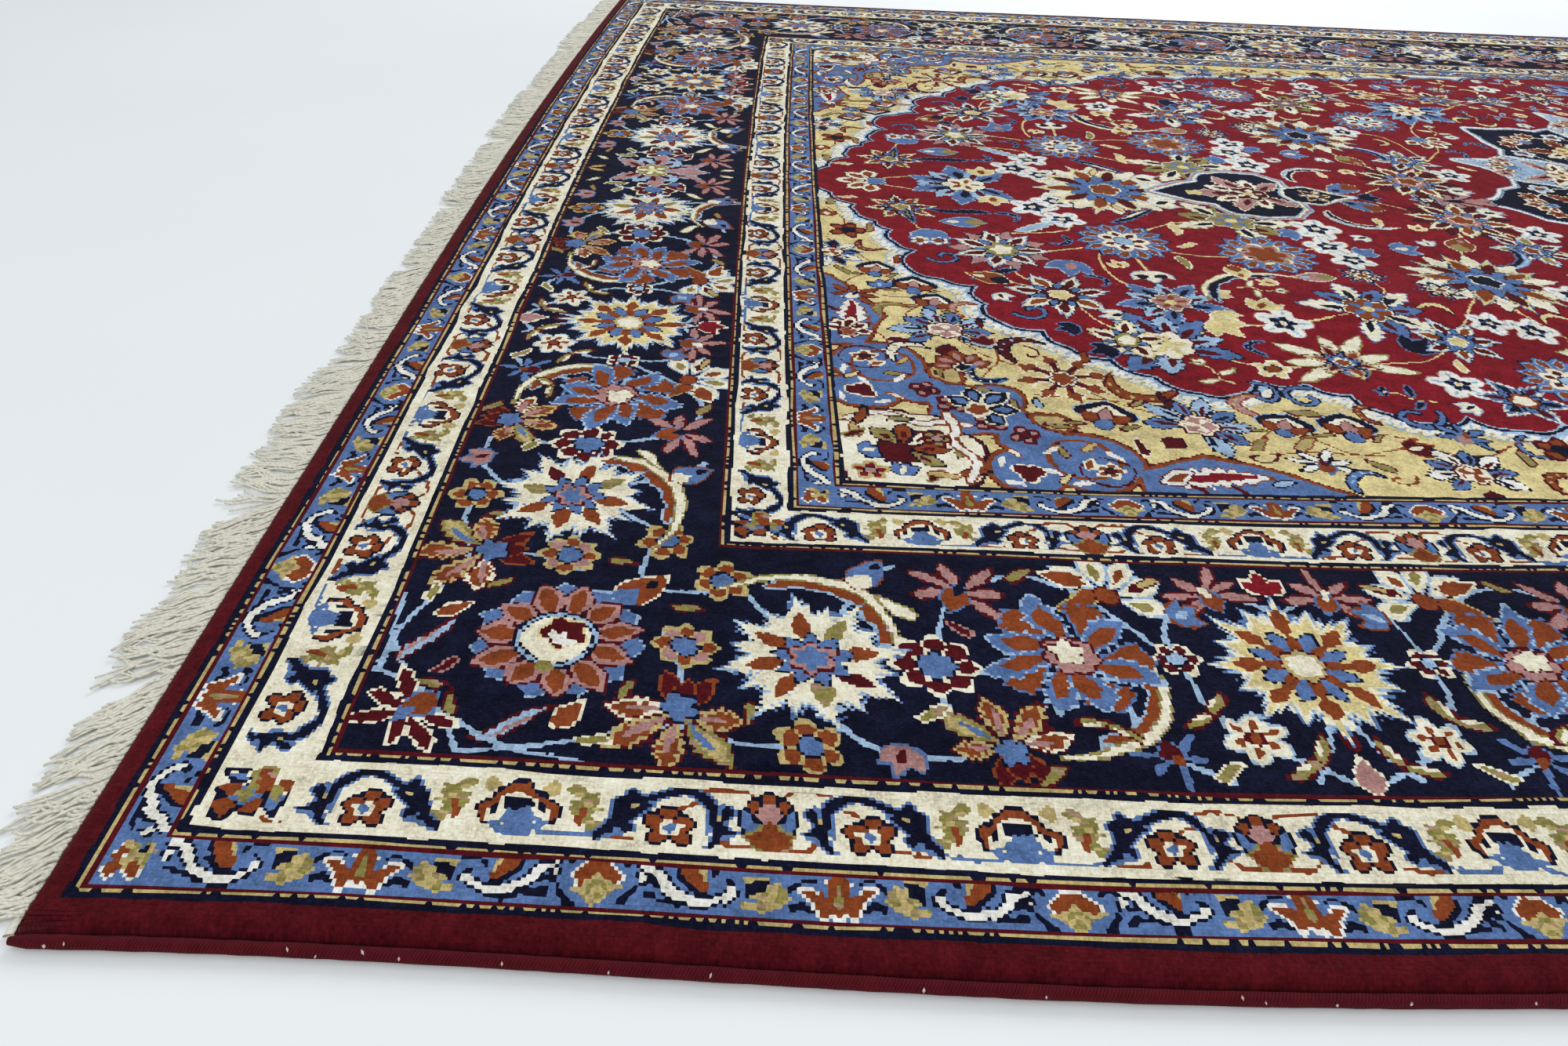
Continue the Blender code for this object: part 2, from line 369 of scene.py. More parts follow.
def saz(place, edge=IVORY, fill=RUST, frill=SKY, flip=1):
    """The long curved leaf: a pale back along its outside and a toothed blade inside."""
    way = np.array((1, flip))
    inner = SAZ_LINE[1:] * (0.92, 1.0) - (0.0, 0.11)
    teeth = (0.0, 0.06, 0.03, 0.09, 0.05, 0.10, 0.05, 0.09, 0.03, 0.06, 0.02, 0.0)
    paint(place, 1.5, ribbon(inner * way, teeth), (1.2, frill), (0.2, fill))
    paint(place, 1.5, ribbon(SAZ_LINE * way, (0.0, 0.03, 0.05, 0.045, 0.03, 0.0)),
          (0.8, OLIVE if edge == IVORY else frill), (0.1, edge))


def bud(place, fill=RUST, rim=IVORY, cup=OLIVE, tip=MAROON):
    paint(place, 1.2, petal(-0.8, 1.7, 1.05, 0.42), (0.9, rim), (0, fill))
    paint(place.at(-0.55, 0), 0.8, petal(-0.2, 0.75, 0.7, 0.4), (0.3, cup))
    paint(place.at(0.15, 0), 0.6, petal(0, 0.5, 0.34, 0.5), (0, tip))


def fan(place, back=GOLD, front=RUST, heart=BLUE, rim=MAROON, pale=IVORY, n=5, spread=78):
    """A half-open palmette: a fan of petals over a cupped heart, opening along x."""
    for k in range(n):
        turn = -spread + 2 * spread * k / (n - 1)
        long = 1.0 - 0.25 * abs(turn) / 90
        paint(place.at(-0.35, 0, turn), 1.7, petal(0.15, 1.2 * long, 0.58, 0.60), (1.0, rim), (0.1, back))
        paint(place.at(-0.35, 0, turn), 1.5, petal(0.35, 0.80 * long, 0.32, 0.58), (0, front))
    paint(place.at(-0.42, 0), 0.9, lobes(5, 0.36, 0.3), (1.0, rim), (0.2, pale), (-0.7, heart))


def half_palmette(place):
    """The wide flower set close to the edge of the border, with its sepals behind."""
    for turn, long in ((-150, 0.8), (150, 0.8), (180, 0.6)):
        paint(place.at(-0.35, 0, turn), 1.2, petal(0.1, long, 0.36, 0.5), (0.9, RUST), (0, MAROON))
    for turn, long, rim, fill in ((-86, 1.05, IVORY, RUST), (86, 0.95, TAN, RUST), (-48, 1.2, TAN, RUST),
                                  (46, 1.25, OLIVE, TAN), (0, 1.15, TAN, RUST)):
        here = place.at(-0.30, 0, turn)
        paint(here, 1.6, petal(0.12, long, 0.54, 0.62, 0.04, 6, 0.35), (1.1, MAROON), (0.4, rim),
              (-0.9, fill))
        paint(here, 1.4, petal(0.25, long * 0.62, 0.14, 0.55), (0.1, ROSE if fill == RUST else BLUE))
    paint(place.at(-0.42, 0), 0.9, lobes(5, 0.34, 0.4), (0.7, NAVY), (0, BLUE))


def big_palmette(place):
    """Toothed petals swirl round an off-centre heart, with rust ones behind."""
    for turn in (38, 122, 200, 262, 330):
        paint(place.at(0, 0, turn), 1.3, petal(0.42, 0.60, 0.62, 0.62, 0.05, 5, 0.3), (1.3, BLUE),
              (0.2, RUST))
    for turn, long in ((4, 0.98), (62, 0.84), (96, 1.06), (150, 0.95), (182, 0.86), (232, 0.98),
                       (296, 0.90)):
        paint(place.at(0, 0, turn), 1.4, petal(0.10, long, 0.46, 0.60, 0.22, 6, 0.4), (1.3, SKY),
              (0.5, BLUE))
        paint(place.at(0, 0, turn), 1.2, petal(0.20, long * 0.70, 0.25, 0.60, 0.20), (0.2, RUST))
    paint(place.at(-0.02, 0), 0.6, lobes(7, 0.34, 0.2), (0.9, MAROON), (-0.1, ROSE))
    paint(place.at(0.04, 0.03), 0.4, lobes(5, 0.22, 0.4), (0.8, MAROON), (0.2, IVORY))


def flame(place):
    """The large white rosette with flame-like edges."""
    n = 8
    for grow, wool in ((1.5, BLUE), (0.6, SKY), (-0.4, IVORY)):
        paint(place, 1.3, jagged(n, 0.93, 0.36, 4, 0.15, 0.58), (grow, wool))
        paint(place, 1.4, jagged(n, 1.10, 0.52, 6, 0.16, 0.2), (grow, wool))
    for k, wool in zip(range(n), (RUST, RUST, RUST, RUST, OLIVE, MAROON, RUST, OLIVE)):
        paint(place.at(0, 0, 360 * k / n + 12), 1, petal(0.32, 0.46, 0.21, 0.45), (0.2, wool))
    paint(place, 0.7, jagged(9, 0.46, 0.35, 2, 0.1), (0.9, NAVY), (0.1, BLUE))
    paint(place, 0.5, lobes(6, 0.25, 0.35), (0.8, MAROON), (0, ROSE), (-1.6, BLUE))


def lotus(place):
    """The corner flower: long red-rimmed petals over blue ones, round a white and red heart."""
    n = 11
    spokes(place, n, petal(0.55, 0.42, 0.34, 0.62), 1.2, (0.8, SKY), (0, BLUE), turn=180 / n)
    for k in range(n):
        here = place.at(0, 0, 360 * k / n)
        long = 0.52 + 0.06 * (k % 3)
        paint(here, 1.3, petal(0.38, long, 0.36, 0.50), (0.8, MAROON), (0, ROSE))
        paint(here, 1.3, petal(0.43, long - 0.12, 0.22, 0.50), (0.1, RUST))
    paint(place, 0.7, disc(0.46), (0.5, NAVY), (-0.5, SKY), (-1.5, NAVY), (-2.1, IVORY))
    paint(place.at(0.12, 0.03), 0.5, lobes(5, 0.27, 0.35), (0.8, GOLD), (0, MAROON))
    for turn in (-35, 15, 65):
        paint(place.at(-0.06, -0.05, turn), 0.4, petal(0, 0.22, 0.10), (0.1, WHITE))
    paint(place.at(-0.40, -0.24), 0.3, disc(0.10), (0.2, OLIVE))


def gold_rosette(place):
    """The large rosette of the border, gold within ivory."""
    n = 8
    for grow, wool in ((1.4, BLUE), (0.5, SKY), (-0.5, IVORY), (-2.6, GOLD)):
        paint(place, 1.3, jagged(n, 0.94, 0.30, 3, 0.13, TAU / 16), (grow, wool))
        paint(place, 1.4, jagged(n, 1.08, 0.48, 4, 0.15), (grow, wool))
    for k in range(n):
        long = 0.34 if k else 0.48
        paint(place.at(0, 0, 360 * k / n), 1.2, petal(0.46, long, 0.18, 0.45), (0.2, RUST))
    spokes(place, n, petal(0.20, 0.36, 0.22, 0.5, 0, 3, 0.4), 0.8, (0.9, NAVY), (0.1, BLUE), turn=180 / n)
    spokes(place, n, petal(0.15, 0.34, 0.13, 0.5), 0.6, (0.1, RUST))
    paint(place, 0.5, lobes(8, 0.24, 0.15), (0.8, MAROON), (0.1, TAN), (-1.2, IVORY))


# ---- ground: the bands of the border and the thin stripes between them
BAND_EDGES = (0.0489, 0.1345, 0.2682, 0.7878, 0.9109, 1.0)
BANDS = (  # outer edge, wool
    (0.0, MAROON), (BAND_EDGES[0], BLUE), (BAND_EDGES[1], IVORY), (BAND_EDGES[2], NAVY),
    (BAND_EDGES[3], IVORY), (BAND_EDGES[4], BLUE), (BAND_EDGES[5], CRIMSON))
STRIPE = ((-2.0, 0.0, NAVY), (0.0, 2.0, MAROON),
          (0.0, 1.0, TAN))     # from, to, in knots; every other one is reversed
across = (np.arange(COLS) + 0.5)[None, :] * KNOT
up = (np.arange(ROWS) + 0.5)[:, None] * KNOT
edge_distance = np.minimum(across, up)


def lay_bands(first, last):
    for (start, wool), (end, _) in zip(BANDS[first:last], (*BANDS, (9, 0))[first + 1:last + 1]):
        chart[(edge_distance >= start) & (edge_distance < end)] = wool


def lay_stripes():
    """Thin lines between the bands: the pale one broken knot by knot, the navy one of uneven width."""
    row, col = np.arange(ROWS)[:, None], np.arange(COLS)[None, :]
    place = np.minimum(row, col) + 0.5
    stray, uneven = smooth_noise(17, 1.02), smooth_noise(20, 4.5)
    for k, edge in enumerate(BAND_EDGES):
        way = -1 if k % 2 else 1
        for start, end, wool in STRIPE:
            low, high = sorted((start * way, end * way))
            line = (place >= edge / KNOT + low) & (place < edge / KNOT + high)
            if wool == NAVY:
                line &= (uneven < 0.30) | (np.abs(place - edge / KNOT) < 1)
            chart[line] = wool
            if wool == TAN:
                chart[line & (stray > 0.40)] = NAVY


MID = HALF_WIDE
FAR = HALF_LONG

# ---- field
lay_bands(6, 7)
CONTOUR = (
    (0.99, 2.80), (1.00, 2.73), (1.05, 2.62), (1.12, 2.51), (1.12, 2.45), (1.17, 2.38), (1.21, 2.32),
    (1.22, 2.23), (1.27, 2.18), (1.24, 2.06), (1.32, 1.99), (1.40, 1.95), (1.41, 1.84), (1.42, 1.75),
    (1.53, 1.70), (1.57, 1.61), (1.66, 1.56), (1.74, 1.48), (1.82, 1.41), (1.90, 1.41), (1.96, 1.47),
    (2.08, 1.46), (2.16, 1.41), (2.21, 1.33), (2.29, 1.29), (2.38, 1.32), (2.47, 1.27), (2.58, 1.30),
    (2.72, 1.24), (2.84, 1.27), (2.96, 1.20), (3.10, 1.24), (3.22, 1.16), (3.36, 1.20), (3.48, 1.12),
    (3.62, 1.15), (3.76, 1.07), (3.90, 1.10), (4.04, 1.02), (4.20, 1.03), (4.30, 0.97))


def scalloped(points, bulge=0.18, steps=5):
    """The outline swells between its cusps."""
    made = []
    for (x0, y0), (x1, y1) in zip(points, points[1:]):
        for t in np.arange(steps) / steps:
            push = bulge * math.sin(math.pi * t)
            made.append((x0 + (x1 - x0) * t + (y1 - y0) * push, y0 + (y1 - y0) * t - (x1 - x0) * push))
    made.append(points[-1])
    return np.array(made)


def inside(points, x, y):
    """Even-odd rule."""
    hit = np.zeros(np.broadcast(x, y).shape, bool)
    for (x0, y0), (x1, y1) in zip(points, np.roll(points, -1, 0)):
        if y0 != y1:
            hit ^= ((y0 > y) != (y1 > y)) & (x < (x1 - x0) * (y - y0) / (y1 - y0) + x0)
    return hit


def region(points):
    points = np.array(points)
    closed = near_line(np.vstack((points, points[:1])))

    def shape(x, y):
        d = closed(x, y)
        return np.where(inside(points, x, y), -d, d)
    return shape


spandrel_line = scalloped(CONTOUR)
spandrel = region(np.vstack((spandrel_line, ((4.3, 0.9), (0.9, 0.9), (0.9, 2.80)))))
distance = spandrel(across, up) / KNOT
swell = 1.6 * smooth_noise(18, 16)
CONTOUR_LAYERS = (  # knots from the line, wool
    (1.0, SKY), (0, NAVY), (-1.8, SKY), (-3.2, WHITE), (-6.4, IVORY), (-9.0, SKY), (-9.9, GOLD))
for grow, wool in CONTOUR_LAYERS:
    chart[distance < grow + (swell if grow < -2 else 0)] = wool
streaks = np.sin((across - up) / KNOT * 0.9 + 3.0 * smooth_noise(19, 9))
chart[(chart == WHITE) & (streaks > 0.72)] = SKY
chart[(chart == IVORY) & (streaks < -0.80) & (distance < 2)] = TAN


def scroll(place):
    """A volute of nine tenths of a turn."""
    a = np.linspace(0, TAU * 0.9, 12)
    r = 1 - 0.75 * a / a[-1]
    line = np.stack((r * np.cos(a) - 1, r * np.sin(a)), 1)
    paint(place, 1.6, near_line(line, 0.09), (1.0, NAVY), (0, BLUE))


SCROLLS = (  # x, y, turn, size, flip
    (1.30, 2.13, 200, 0.05, 1), (1.47, 1.79, 200, 0.05, 1), (1.95, 1.46, 100, 0.05, -1),
    (2.08, 1.44, 60, 0.055, 1), (2.32, 1.34, 20, 0.06, -1), (2.46, 1.24, 100, 0.05, 1),
    (1.64, 1.62, 210, 0.035, 1), (2.85, 1.25, 60, 0.05, 1), (3.23, 1.19, 100, 0.05, -1))
for scroll_at in SCROLLS:
    scroll(NEAR.at(*scroll_at))

# the blue arabesque of the corner, alike on both sides of its diagonal
LEAF_OUTLINE = (
    (1.585, 1.0), (1.59, 1.09), (1.66, 1.115), (1.74, 1.145), (1.82, 1.12), (1.90, 1.075), (1.98, 1.025),
    (2.0, 1.0))
LOOP = (
    (0.0, -0.6), (0.45, -0.25), (0.62, 0.3), (0.35, 0.85), (0.0, 1.05), (-0.35, 0.85), (-0.62, 0.3),
    (-0.45, -0.25), (0.0, -0.6))


def spot(way, x, y, turn=0.0, size=1.0):
    """x and y from the field's corner, along the near side for way 1 and up the left side for way -1."""
    return NEAR.at(x, y, turn, size) if way > 0 else NEAR.at(y, x, 90 - turn, size, -1)


def cut_out(place, letters, reach, shape, *grows):
    """A shape at its real size, one wool within the other."""
    paint(place, reach, shape, *((grow, LETTERS[letter]) for grow, letter in zip(grows, letters)))


def circle(place, wool, radius, thick):
    paint(place, 0.3, lambda x, y: np.abs(np.hypot(x, y) - radius), (thick, wool))


def both_ways(table):
    for way in (1, -1):
        for x, y, turn, size, *what in table:
            draw(spot(way, x, y, turn, size), *what)


SMALL_BLADE = petal(-0.022, 0.044, 0.014, 0.5, 0.2)
FRILL_RIB = petal(0, 0.055, 0.012, 0.5)
for grow, wool in ((1.5, MAROON), (0.8, RUST), (-1.0, BLUE)):
    paint(NEAR.at(1.31, 1.31), 0.3, lobes(4, 0.125, 0.22, 0.25 * math.pi), (grow, wool))
    for way in (1, -1):
        paint(NEAR, 3.0, region(np.array(LEAF_OUTLINE)[:, ::way]), (grow, wool))
        for x, y, radius in ((1.40, 1.19, 0.075), (1.37, 1.075, 0.078), (1.50, 1.114, 0.106)):
            paint(spot(way, x, y), 0.2, disc(radius), (grow, wool))
both_ways((  # x, y, turn, size, motif
    (1.49, 1.125, 0, 1, circle, "r", 0.072, 0.9), (1.53, 1.08, 0, 1, circle, "m", 0.052, 0.5),
    (1.46, 1.145, 80, 0.032, small_leaf, "om"), (1.515, 1.165, 10, 0.030, small_leaf, "tr"),
    (1.50, 1.108, 70, 0.020, heart_leaf), (1.535, 1.085, 0, 0.030, six, "rim", 5),
    (1.37, 1.068, 0, 1, cut_out, "", "im", 0.1, lobes(3, 0.032, 0.40, 0.5), 1.1, 0),
    *((x, y, turn, 1, cut_out, "", "w", 0.1, SMALL_BLADE, 0.2) for x, y, turn in (
        (1.325, 1.10, 60), (1.415, 1.075, -50), (1.34, 1.03, 150), (1.43, 1.15, 20),
        (1.555, 1.14, -70), (1.47, 1.04, 170))),
    (1.44, 1.045, 15, 0.028, small_leaf, "gm"), (1.385, 1.205, 20, 0.034, six, "pmm", 4),
    (1.355, 1.135, 100, 0.024, small_leaf, "ir"), (1.255, 1.325, 45, 0.036, six, "pmr", 4),
    (1.335, 1.40, 150, 0.030, small_leaf, "om"),
    # a tan loop with a leaf in it
    (1.475, 1.255, 62, 0.062, cut_out, "", "mrt", 1.4, region(LOOP), 1.2, 0.4, -1.1),
    (1.475, 1.255, 150, 0.034, small_leaf, "om"),
    # the split leaf's frills
    (1.74, 1.055, -4, 1, cut_out, "", "rw", 0.3, petal(-0.11, 0.22, 0.085, 0.40, 0.10, 8, 0.45), 1.0, 0.2),
    (1.74, 1.060, -4, 1, cut_out, "", "c", 0.3, petal(-0.08, 0.17, 0.030, 0.40, 0.10, 6, 0.45), 0.4),
    *((1.68 + 0.038 * k, 1.045, -50, 1, cut_out, "", "mb"[k % 2], 0.1, FRILL_RIB, 0.2) for k in range(4)),
    (1.655, 1.055, 20, 1, cut_out, "", "mw", 0.1, petal(-0.035, 0.085, 0.045, 0.45, 0.2), 1.0, 0.1),
    (1.655, 1.055, 20, 1, cut_out, "", "r", 0.1, petal(-0.02, 0.055, 0.020, 0.45, 0.2), 0.1),
    (1.86, 1.045, -10, 0.030, small_leaf, "sk"), (1.63, 1.165, 65, 0.045, small_leaf, "mi")))
# a navy palmette where the arms meet
fan(NEAR.at(1.33, 1.33, 45, 0.075), NAVY, BLUE, RUST, IVORY, IVORY, 5, 100)

# the ivory corner, within its scroll
paint(NEAR.at(1.135, 1.125), 0.3, lobes(8, 0.165, 0.12, 0.2), (1.4, NAVY), (0.5, MAROON), (-0.4, IVORY))
CORNER_SCROLL = np.array(((1.03, 1.25), (1.10, 1.275), (1.18, 1.235), (1.22, 1.25), (1.28, 1.24)))


def scroll_line(place, white, rust):
    paint(place, 1.9, near_line(route(CORNER_SCROLL, 6), 0.007), (1.0, rust), (0, white))


both_ways((
    (0, 0, 0, 1, scroll_line, "wr"),
    (1.255, 1.05, -10, 0.040, small_leaf, "rk"), (1.19, 1.035, 30, 0.034, small_leaf, "mo"),
    (1.255, 1.13, 60, 0.034, small_leaf, "ok"), (1.125, 1.06, 70, 0.042, tulip, "bki"),
    (1.055, 1.20, 80, 0.036, small_leaf, "tr")))
paint(NEAR.at(1.145, 1.145, 45), 0.2, petal(-0.075, 0.16, 0.11, 0.45), (1.2, NAVY), (0.2, MAROON))
for turn, wool in ((-80, OLIVE), (-40, RUST), (0, IVORY), (40, RUST), (80, OLIVE)):
    here = NEAR.at(1.135, 1.135, 45 + turn)
    paint(here, 0.2, petal(0.02, 0.075, 0.034, 0.6), (0.9, NAVY), (0.1, wool))
    paint(here, 0.2, petal(0.035, 0.035, 0.012, 0.6), (0.1, MAROON))
six(NEAR.at(1.205, 1.18, 0, 0.030), OLIVE, MAROON, ROSE, 5)
six(NEAR.at(1.062, 1.052, 20, 0.036), CRIMSON, TAN, ROSE, 5)


def arched(p):
    """A small flower under a dark arch."""
    paint(p, 1.3, petal(-0.35, 1.45, 2.0, 0.42), (0.9, SKY), (0, NAVY))
    paint(p, 1.2, petal(-0.30, 1.10, 1.35, 0.42), (0, IVORY))
    for turn, wool in ((-48, RUST), (48, RUST), (0, ROSE)):
        paint(p.at(-0.45, 0, turn), 1.2, petal(0, 1.05, 0.50, 0.55), (0.7, MAROON), (-0.1, wool))
    paint(p.at(-0.45, 0), 0.6, disc(0.30), (0.7, NAVY), (0, BLUE))
    for way in (1, -1):
        small_leaf(p.at(-0.5, 0.8 * way, 70 * way, 0.42), OLIVE, MAROON)


def frilled(p, outer=BLUE, rim=NAVY, inner=SKY, heart=ROSE):
    """The wide palmette of the corners, its toothed leaves round a pale heart."""
    for k in range(8):
        turn = -126 + 36 * k
        paint(p.at(-0.1, 0, turn), 1.4, petal(0.2, 0.92 - 0.14 * (k % 2), 0.42, 0.62, 0.08, 6, 0.4),
              (1.0, rim), (0, outer if k % 2 else inner))
        paint(p.at(-0.1, 0, turn), 1.2, petal(0.35, 0.50, 0.10, 0.5), (0, MAROON if k % 3 else rim))
    paint(p.at(-0.1, 0), 0.7, lobes(6, 0.36, 0.2), (1.2, MAROON), (0.2, IVORY), (-1.0, heart))
    spokes(p.at(-0.1, 0), 3, petal(0.02, 0.26, 0.14, 0.6), 0.5, (0.2, IVORY))
    paint(p.at(-0.75, 0, 180), 0.8, petal(0, 0.5, 0.4, 0.5), (0.8, rim), (0, MAROON))


def curl(p, fill=MAROON, rim=NAVY, dash=SKY):
    """A leaf bent round like a hook, with pale dashes along its back."""
    line = ((-0.9, -0.55), (-0.75, 0.2), (-0.2, 0.65), (0.45, 0.5), (0.85, 0.0))
    paint(p, 1.5, ribbon(np.array(line), (0.06, 0.16, 0.18, 0.12, 0.0)), (1.0, rim), (0, fill))
    for x, y in ((-0.72, 0.28), (-0.38, 0.6), (0.05, 0.68), (0.45, 0.52)):
        paint(p.at(x, y), 0.3, disc(0.07), (0.1, dash))


def rust_rosette(p):
    paint(p, 1.1, jagged(8, 1.0, 0.42, 3, 0.10), (0.9, IVORY), (0.1, RUST))
    spokes(p, 8, petal(0.28, 0.50, 0.24, 0.55), 1, (0.5, IVORY), (-0.3, GOLD), turn=22)
    spokes(p, 8, petal(0.25, 0.40, 0.10, 0.55), 1, (0.2, MAROON))
    paint(p, 0.6, lobes(6, 0.30, 0.3), (1.0, NAVY), (0.1, IVORY), (-1.0, RUST))


SPANDREL_STEMS = (
    ((1.03, 2.48), (1.08, 2.36), (1.03, 2.24), (1.12, 2.12), (1.15, 2.03)),
    ((1.15, 2.03), (1.06, 1.94), (1.15, 1.87), (1.28, 1.86)), ((1.28, 1.86), (1.20, 1.76), (1.28, 1.68)),
    ((1.28, 1.68), (1.20, 1.60), (1.14, 1.62), (1.10, 1.78)), ((1.38, 1.68), (1.39, 1.55), (1.34, 1.45)),
    ((1.28, 1.68), (1.36, 1.56), (1.46, 1.50)), ((1.52, 1.46), (1.62, 1.35), (1.75, 1.28)),
    ((1.44, 1.38), (1.56, 1.37), (1.68, 1.35)),
    ((1.75, 1.28), (1.86, 1.20), (1.95, 1.26), (2.06, 1.17), (2.20, 1.20)),
    ((1.88, 1.16), (2.0, 1.17), (2.12, 1.16)), ((1.95, 1.26), (2.03, 1.33), (2.12, 1.26), (2.22, 1.23)),
    ((2.20, 1.20), (2.33, 1.16), (2.45, 1.22), (2.60, 1.16), (2.70, 1.14)),
    ((2.70, 1.14), (2.85, 1.20), (3.0, 1.14), (3.15, 1.10), (3.3, 1.12), (3.45, 1.07), (3.62, 1.07)))
for points in SPANDREL_STEMS:
    vine(NEAR, points, RUST, 0.45)
SPANDREL_MOTIFS = (  # x, y, turn, size, motif
    (1.05, 2.52, 60, 0.045, small_leaf, "om"), (1.03, 2.41, 100, 0.045, tulip, "rmi"),
    (1.086, 2.30, 0, 0.055, six, "rmk", 5), (1.16, 2.32, 70, 0.04, small_leaf, "or"),
    (1.04, 2.14, 20, 0.085, frilled, "kbir"), (1.14, 2.20, 120, 0.045, curl, "rmt"),
    (1.15, 2.03, 80, 0.055, arched), (1.22, 2.10, 60, 0.035, small_leaf, "rm"),
    (1.07, 2.02, 100, 0.04, small_leaf, "om"), (1.08, 1.87, 60, 0.070, lily, "rmki"),
    (1.18, 1.95, 20, 0.035, tulip, "rms"), (1.235, 1.93, 80, 0.062, arched),
    (1.15, 1.93, 90, 0.045, tulip, "bks"), (1.275, 1.83, 70, 0.060, arched),
    (1.355, 1.81, 40, 0.045, curl, "prt"), (1.17, 1.79, 20, 0.05, curl, "ort"),
    (1.286, 1.69, 85, 0.115, frilled), (1.06, 1.68, 80, 0.055, fan, "imrmp"),
    (1.37, 1.63, 90, 0.040, tulip, "mp"), (1.46, 1.60, 30, 0.070, curl),
    (1.19, 1.565, 20, 0.060, curl, "ikm"), (1.38, 1.72, 60, 0.030, small_leaf, "mk"),
    (1.30, 1.52, 100, 0.060, fan, "rpkmi"), (1.35, 1.47, 120, 0.045, curl, "kbi"),
    (1.52, 1.46, 10, 0.112, rust_rosette), (1.68, 1.44, 130, 0.085, curl, "rmt"),
    (1.60, 1.56, 60, 0.035, small_leaf, "rm"), (1.73, 1.38, 60, 0.03, small_leaf, "mk"),
    (1.775, 1.275, 45, 0.115, frilled), (1.575, 1.29, 75, 0.065, arched),
    (1.66, 1.345, 10, 0.030, small_leaf, "om"), (1.73, 1.35, 20, 0.030, small_leaf, "mk"),
    (1.92, 1.365, 60, 0.055, curl, "prt"), (1.955, 1.265, 70, 0.060, arched),
    (2.09, 1.262, 80, 0.062, arched), (2.03, 1.335, 140, 0.050, small_leaf, "om"),
    (1.87, 1.18, 20, 0.040, small_leaf, "or"), (1.97, 1.19, 10, 0.045, small_leaf, "tr"),
    (1.972, 1.125, 90, 0.065, lily, "wkmr"), (2.04, 1.062, 20, 0.050, curl, "bks"),
    (2.10, 1.12, 110, 0.042, small_leaf, "om"), (2.20, 1.19, 20, 0.055, tulip, "mri"),
    (2.27, 1.105, 90, 0.090, frilled, "bkwr"), (2.17, 1.33, 60, 0.04, curl, "rmt"),
    (2.33, 1.236, 60, 0.060, lily, "bkrp"), (2.42, 1.15, 60, 0.04, small_leaf, "om"),
    (2.514, 1.19, 0, 0.052, six, "rmk", 5), (2.45, 1.07, 20, 0.05, curl, "rmt"),
    (2.57, 1.08, 80, 0.045, arched), (2.69, 1.14, 60, 0.095, frilled),
    (2.80, 1.07, 20, 0.045, curl, "omt"), (2.88, 1.16, 70, 0.052, arched),
    (2.96, 1.07, 100, 0.045, tulip, "rmi"), (3.06, 1.12, 60, 0.065, lily, "rmii"),
    (3.16, 1.06, 10, 0.040, small_leaf, "om"), (3.25, 1.09, 0, 0.045, six, "rmk", 5),
    (3.42, 1.07, 60, 0.055, frilled, "bkip"), (3.55, 1.05, 10, 0.04, small_leaf, "rm"),
    (3.64, 1.06, 0, 0.040, six, "mrk", 5))
set_out(SPANDREL_MOTIFS)


def red_dahlia(p):
    paint(p, 1.2, spikes(14, 1.0, 0.2), (0.8, NAVY), (0, BLUE))
    spokes(p, 14, petal(0.5, 0.40, 0.20, 0.6), 1, (0.5, SKY), (-0.2, RUST))
    paint(p, 0.7, lobes(7, 0.56, 0.3), (0.8, ROSE), (0, IVORY))
    spokes(p, 7, petal(0.22, 0.26, 0.18, 0.5), 0.7, (0, MAROON))
    paint(p, 0.5, disc(0.2), (0.4, NAVY), (-0.4, SKY))


def star(place, petals, rim, seeds, ring, heart, back=None, n=8):
    """The large pointed palmette seen in full."""
    if back is not None:
        spokes(place, n, petal(0.35, 0.66, 0.34, 0.45, 0, 4, 0.3), 1.2, (0.9, NAVY), (0.1, back),
               turn=180 / n)
    paint(place, 1.2, jagged(n, 1.0, 0.50, 4, 0.12), (1.6, SKY if rim == IVORY else NAVY), (0.7, rim),
          (-0.9, petals))
    for k in range(n):
        paint(place.at(0, 0, 360 * k / n), 1, petal(0.34, 0.46, 0.17, 0.5),
              (0.3, seeds if k % 2 else MAROON))
        paint(place.at(0, 0, 360 * (k + 0.5) / n), 0.7, petal(0.28, 0.28, 0.17, 0.5), (0.6, NAVY),
              (-0.2, BLUE))
    paint(place, 0.5, lobes(n, 0.35, 0.22), (0.8, NAVY), (0, ring))
    paint(place, 0.4, lobes(5, 0.23, 0.3), (0.6, IVORY), (-0.5, heart))


def navy_star(p):
    paint(p, 1.2, jagged(8, 1.0, 0.45, 3, 0.1), (1.0, BLUE), (0, NAVY))
    spokes(p, 8, petal(0.25, 0.45, 0.17, 0.5), 1.2, (0.4, IVORY), (-0.4, RUST))
    paint(p, 0.5, disc(0.24), (0.4, IVORY), (-0.4, RUST))


def sprig(p, fill=GOLD, rim=IVORY, tip=RUST):
    """A short stem with two leaves and a bud."""
    vine(p, ((-1.0, -0.35), (-0.35, 0.05), (0.25, 0.0), (0.70, 0.25)), GOLD, 0.5)
    small_leaf(p.at(-0.45, 0.40, 65, 0.52), fill, rim)
    small_leaf(p.at(0.10, -0.40, -40, 0.56, -1), OLIVE if fill == GOLD else fill, rim)
    tulip(p.at(0.85, 0.30, 25, 0.42), fill, rim, tip)


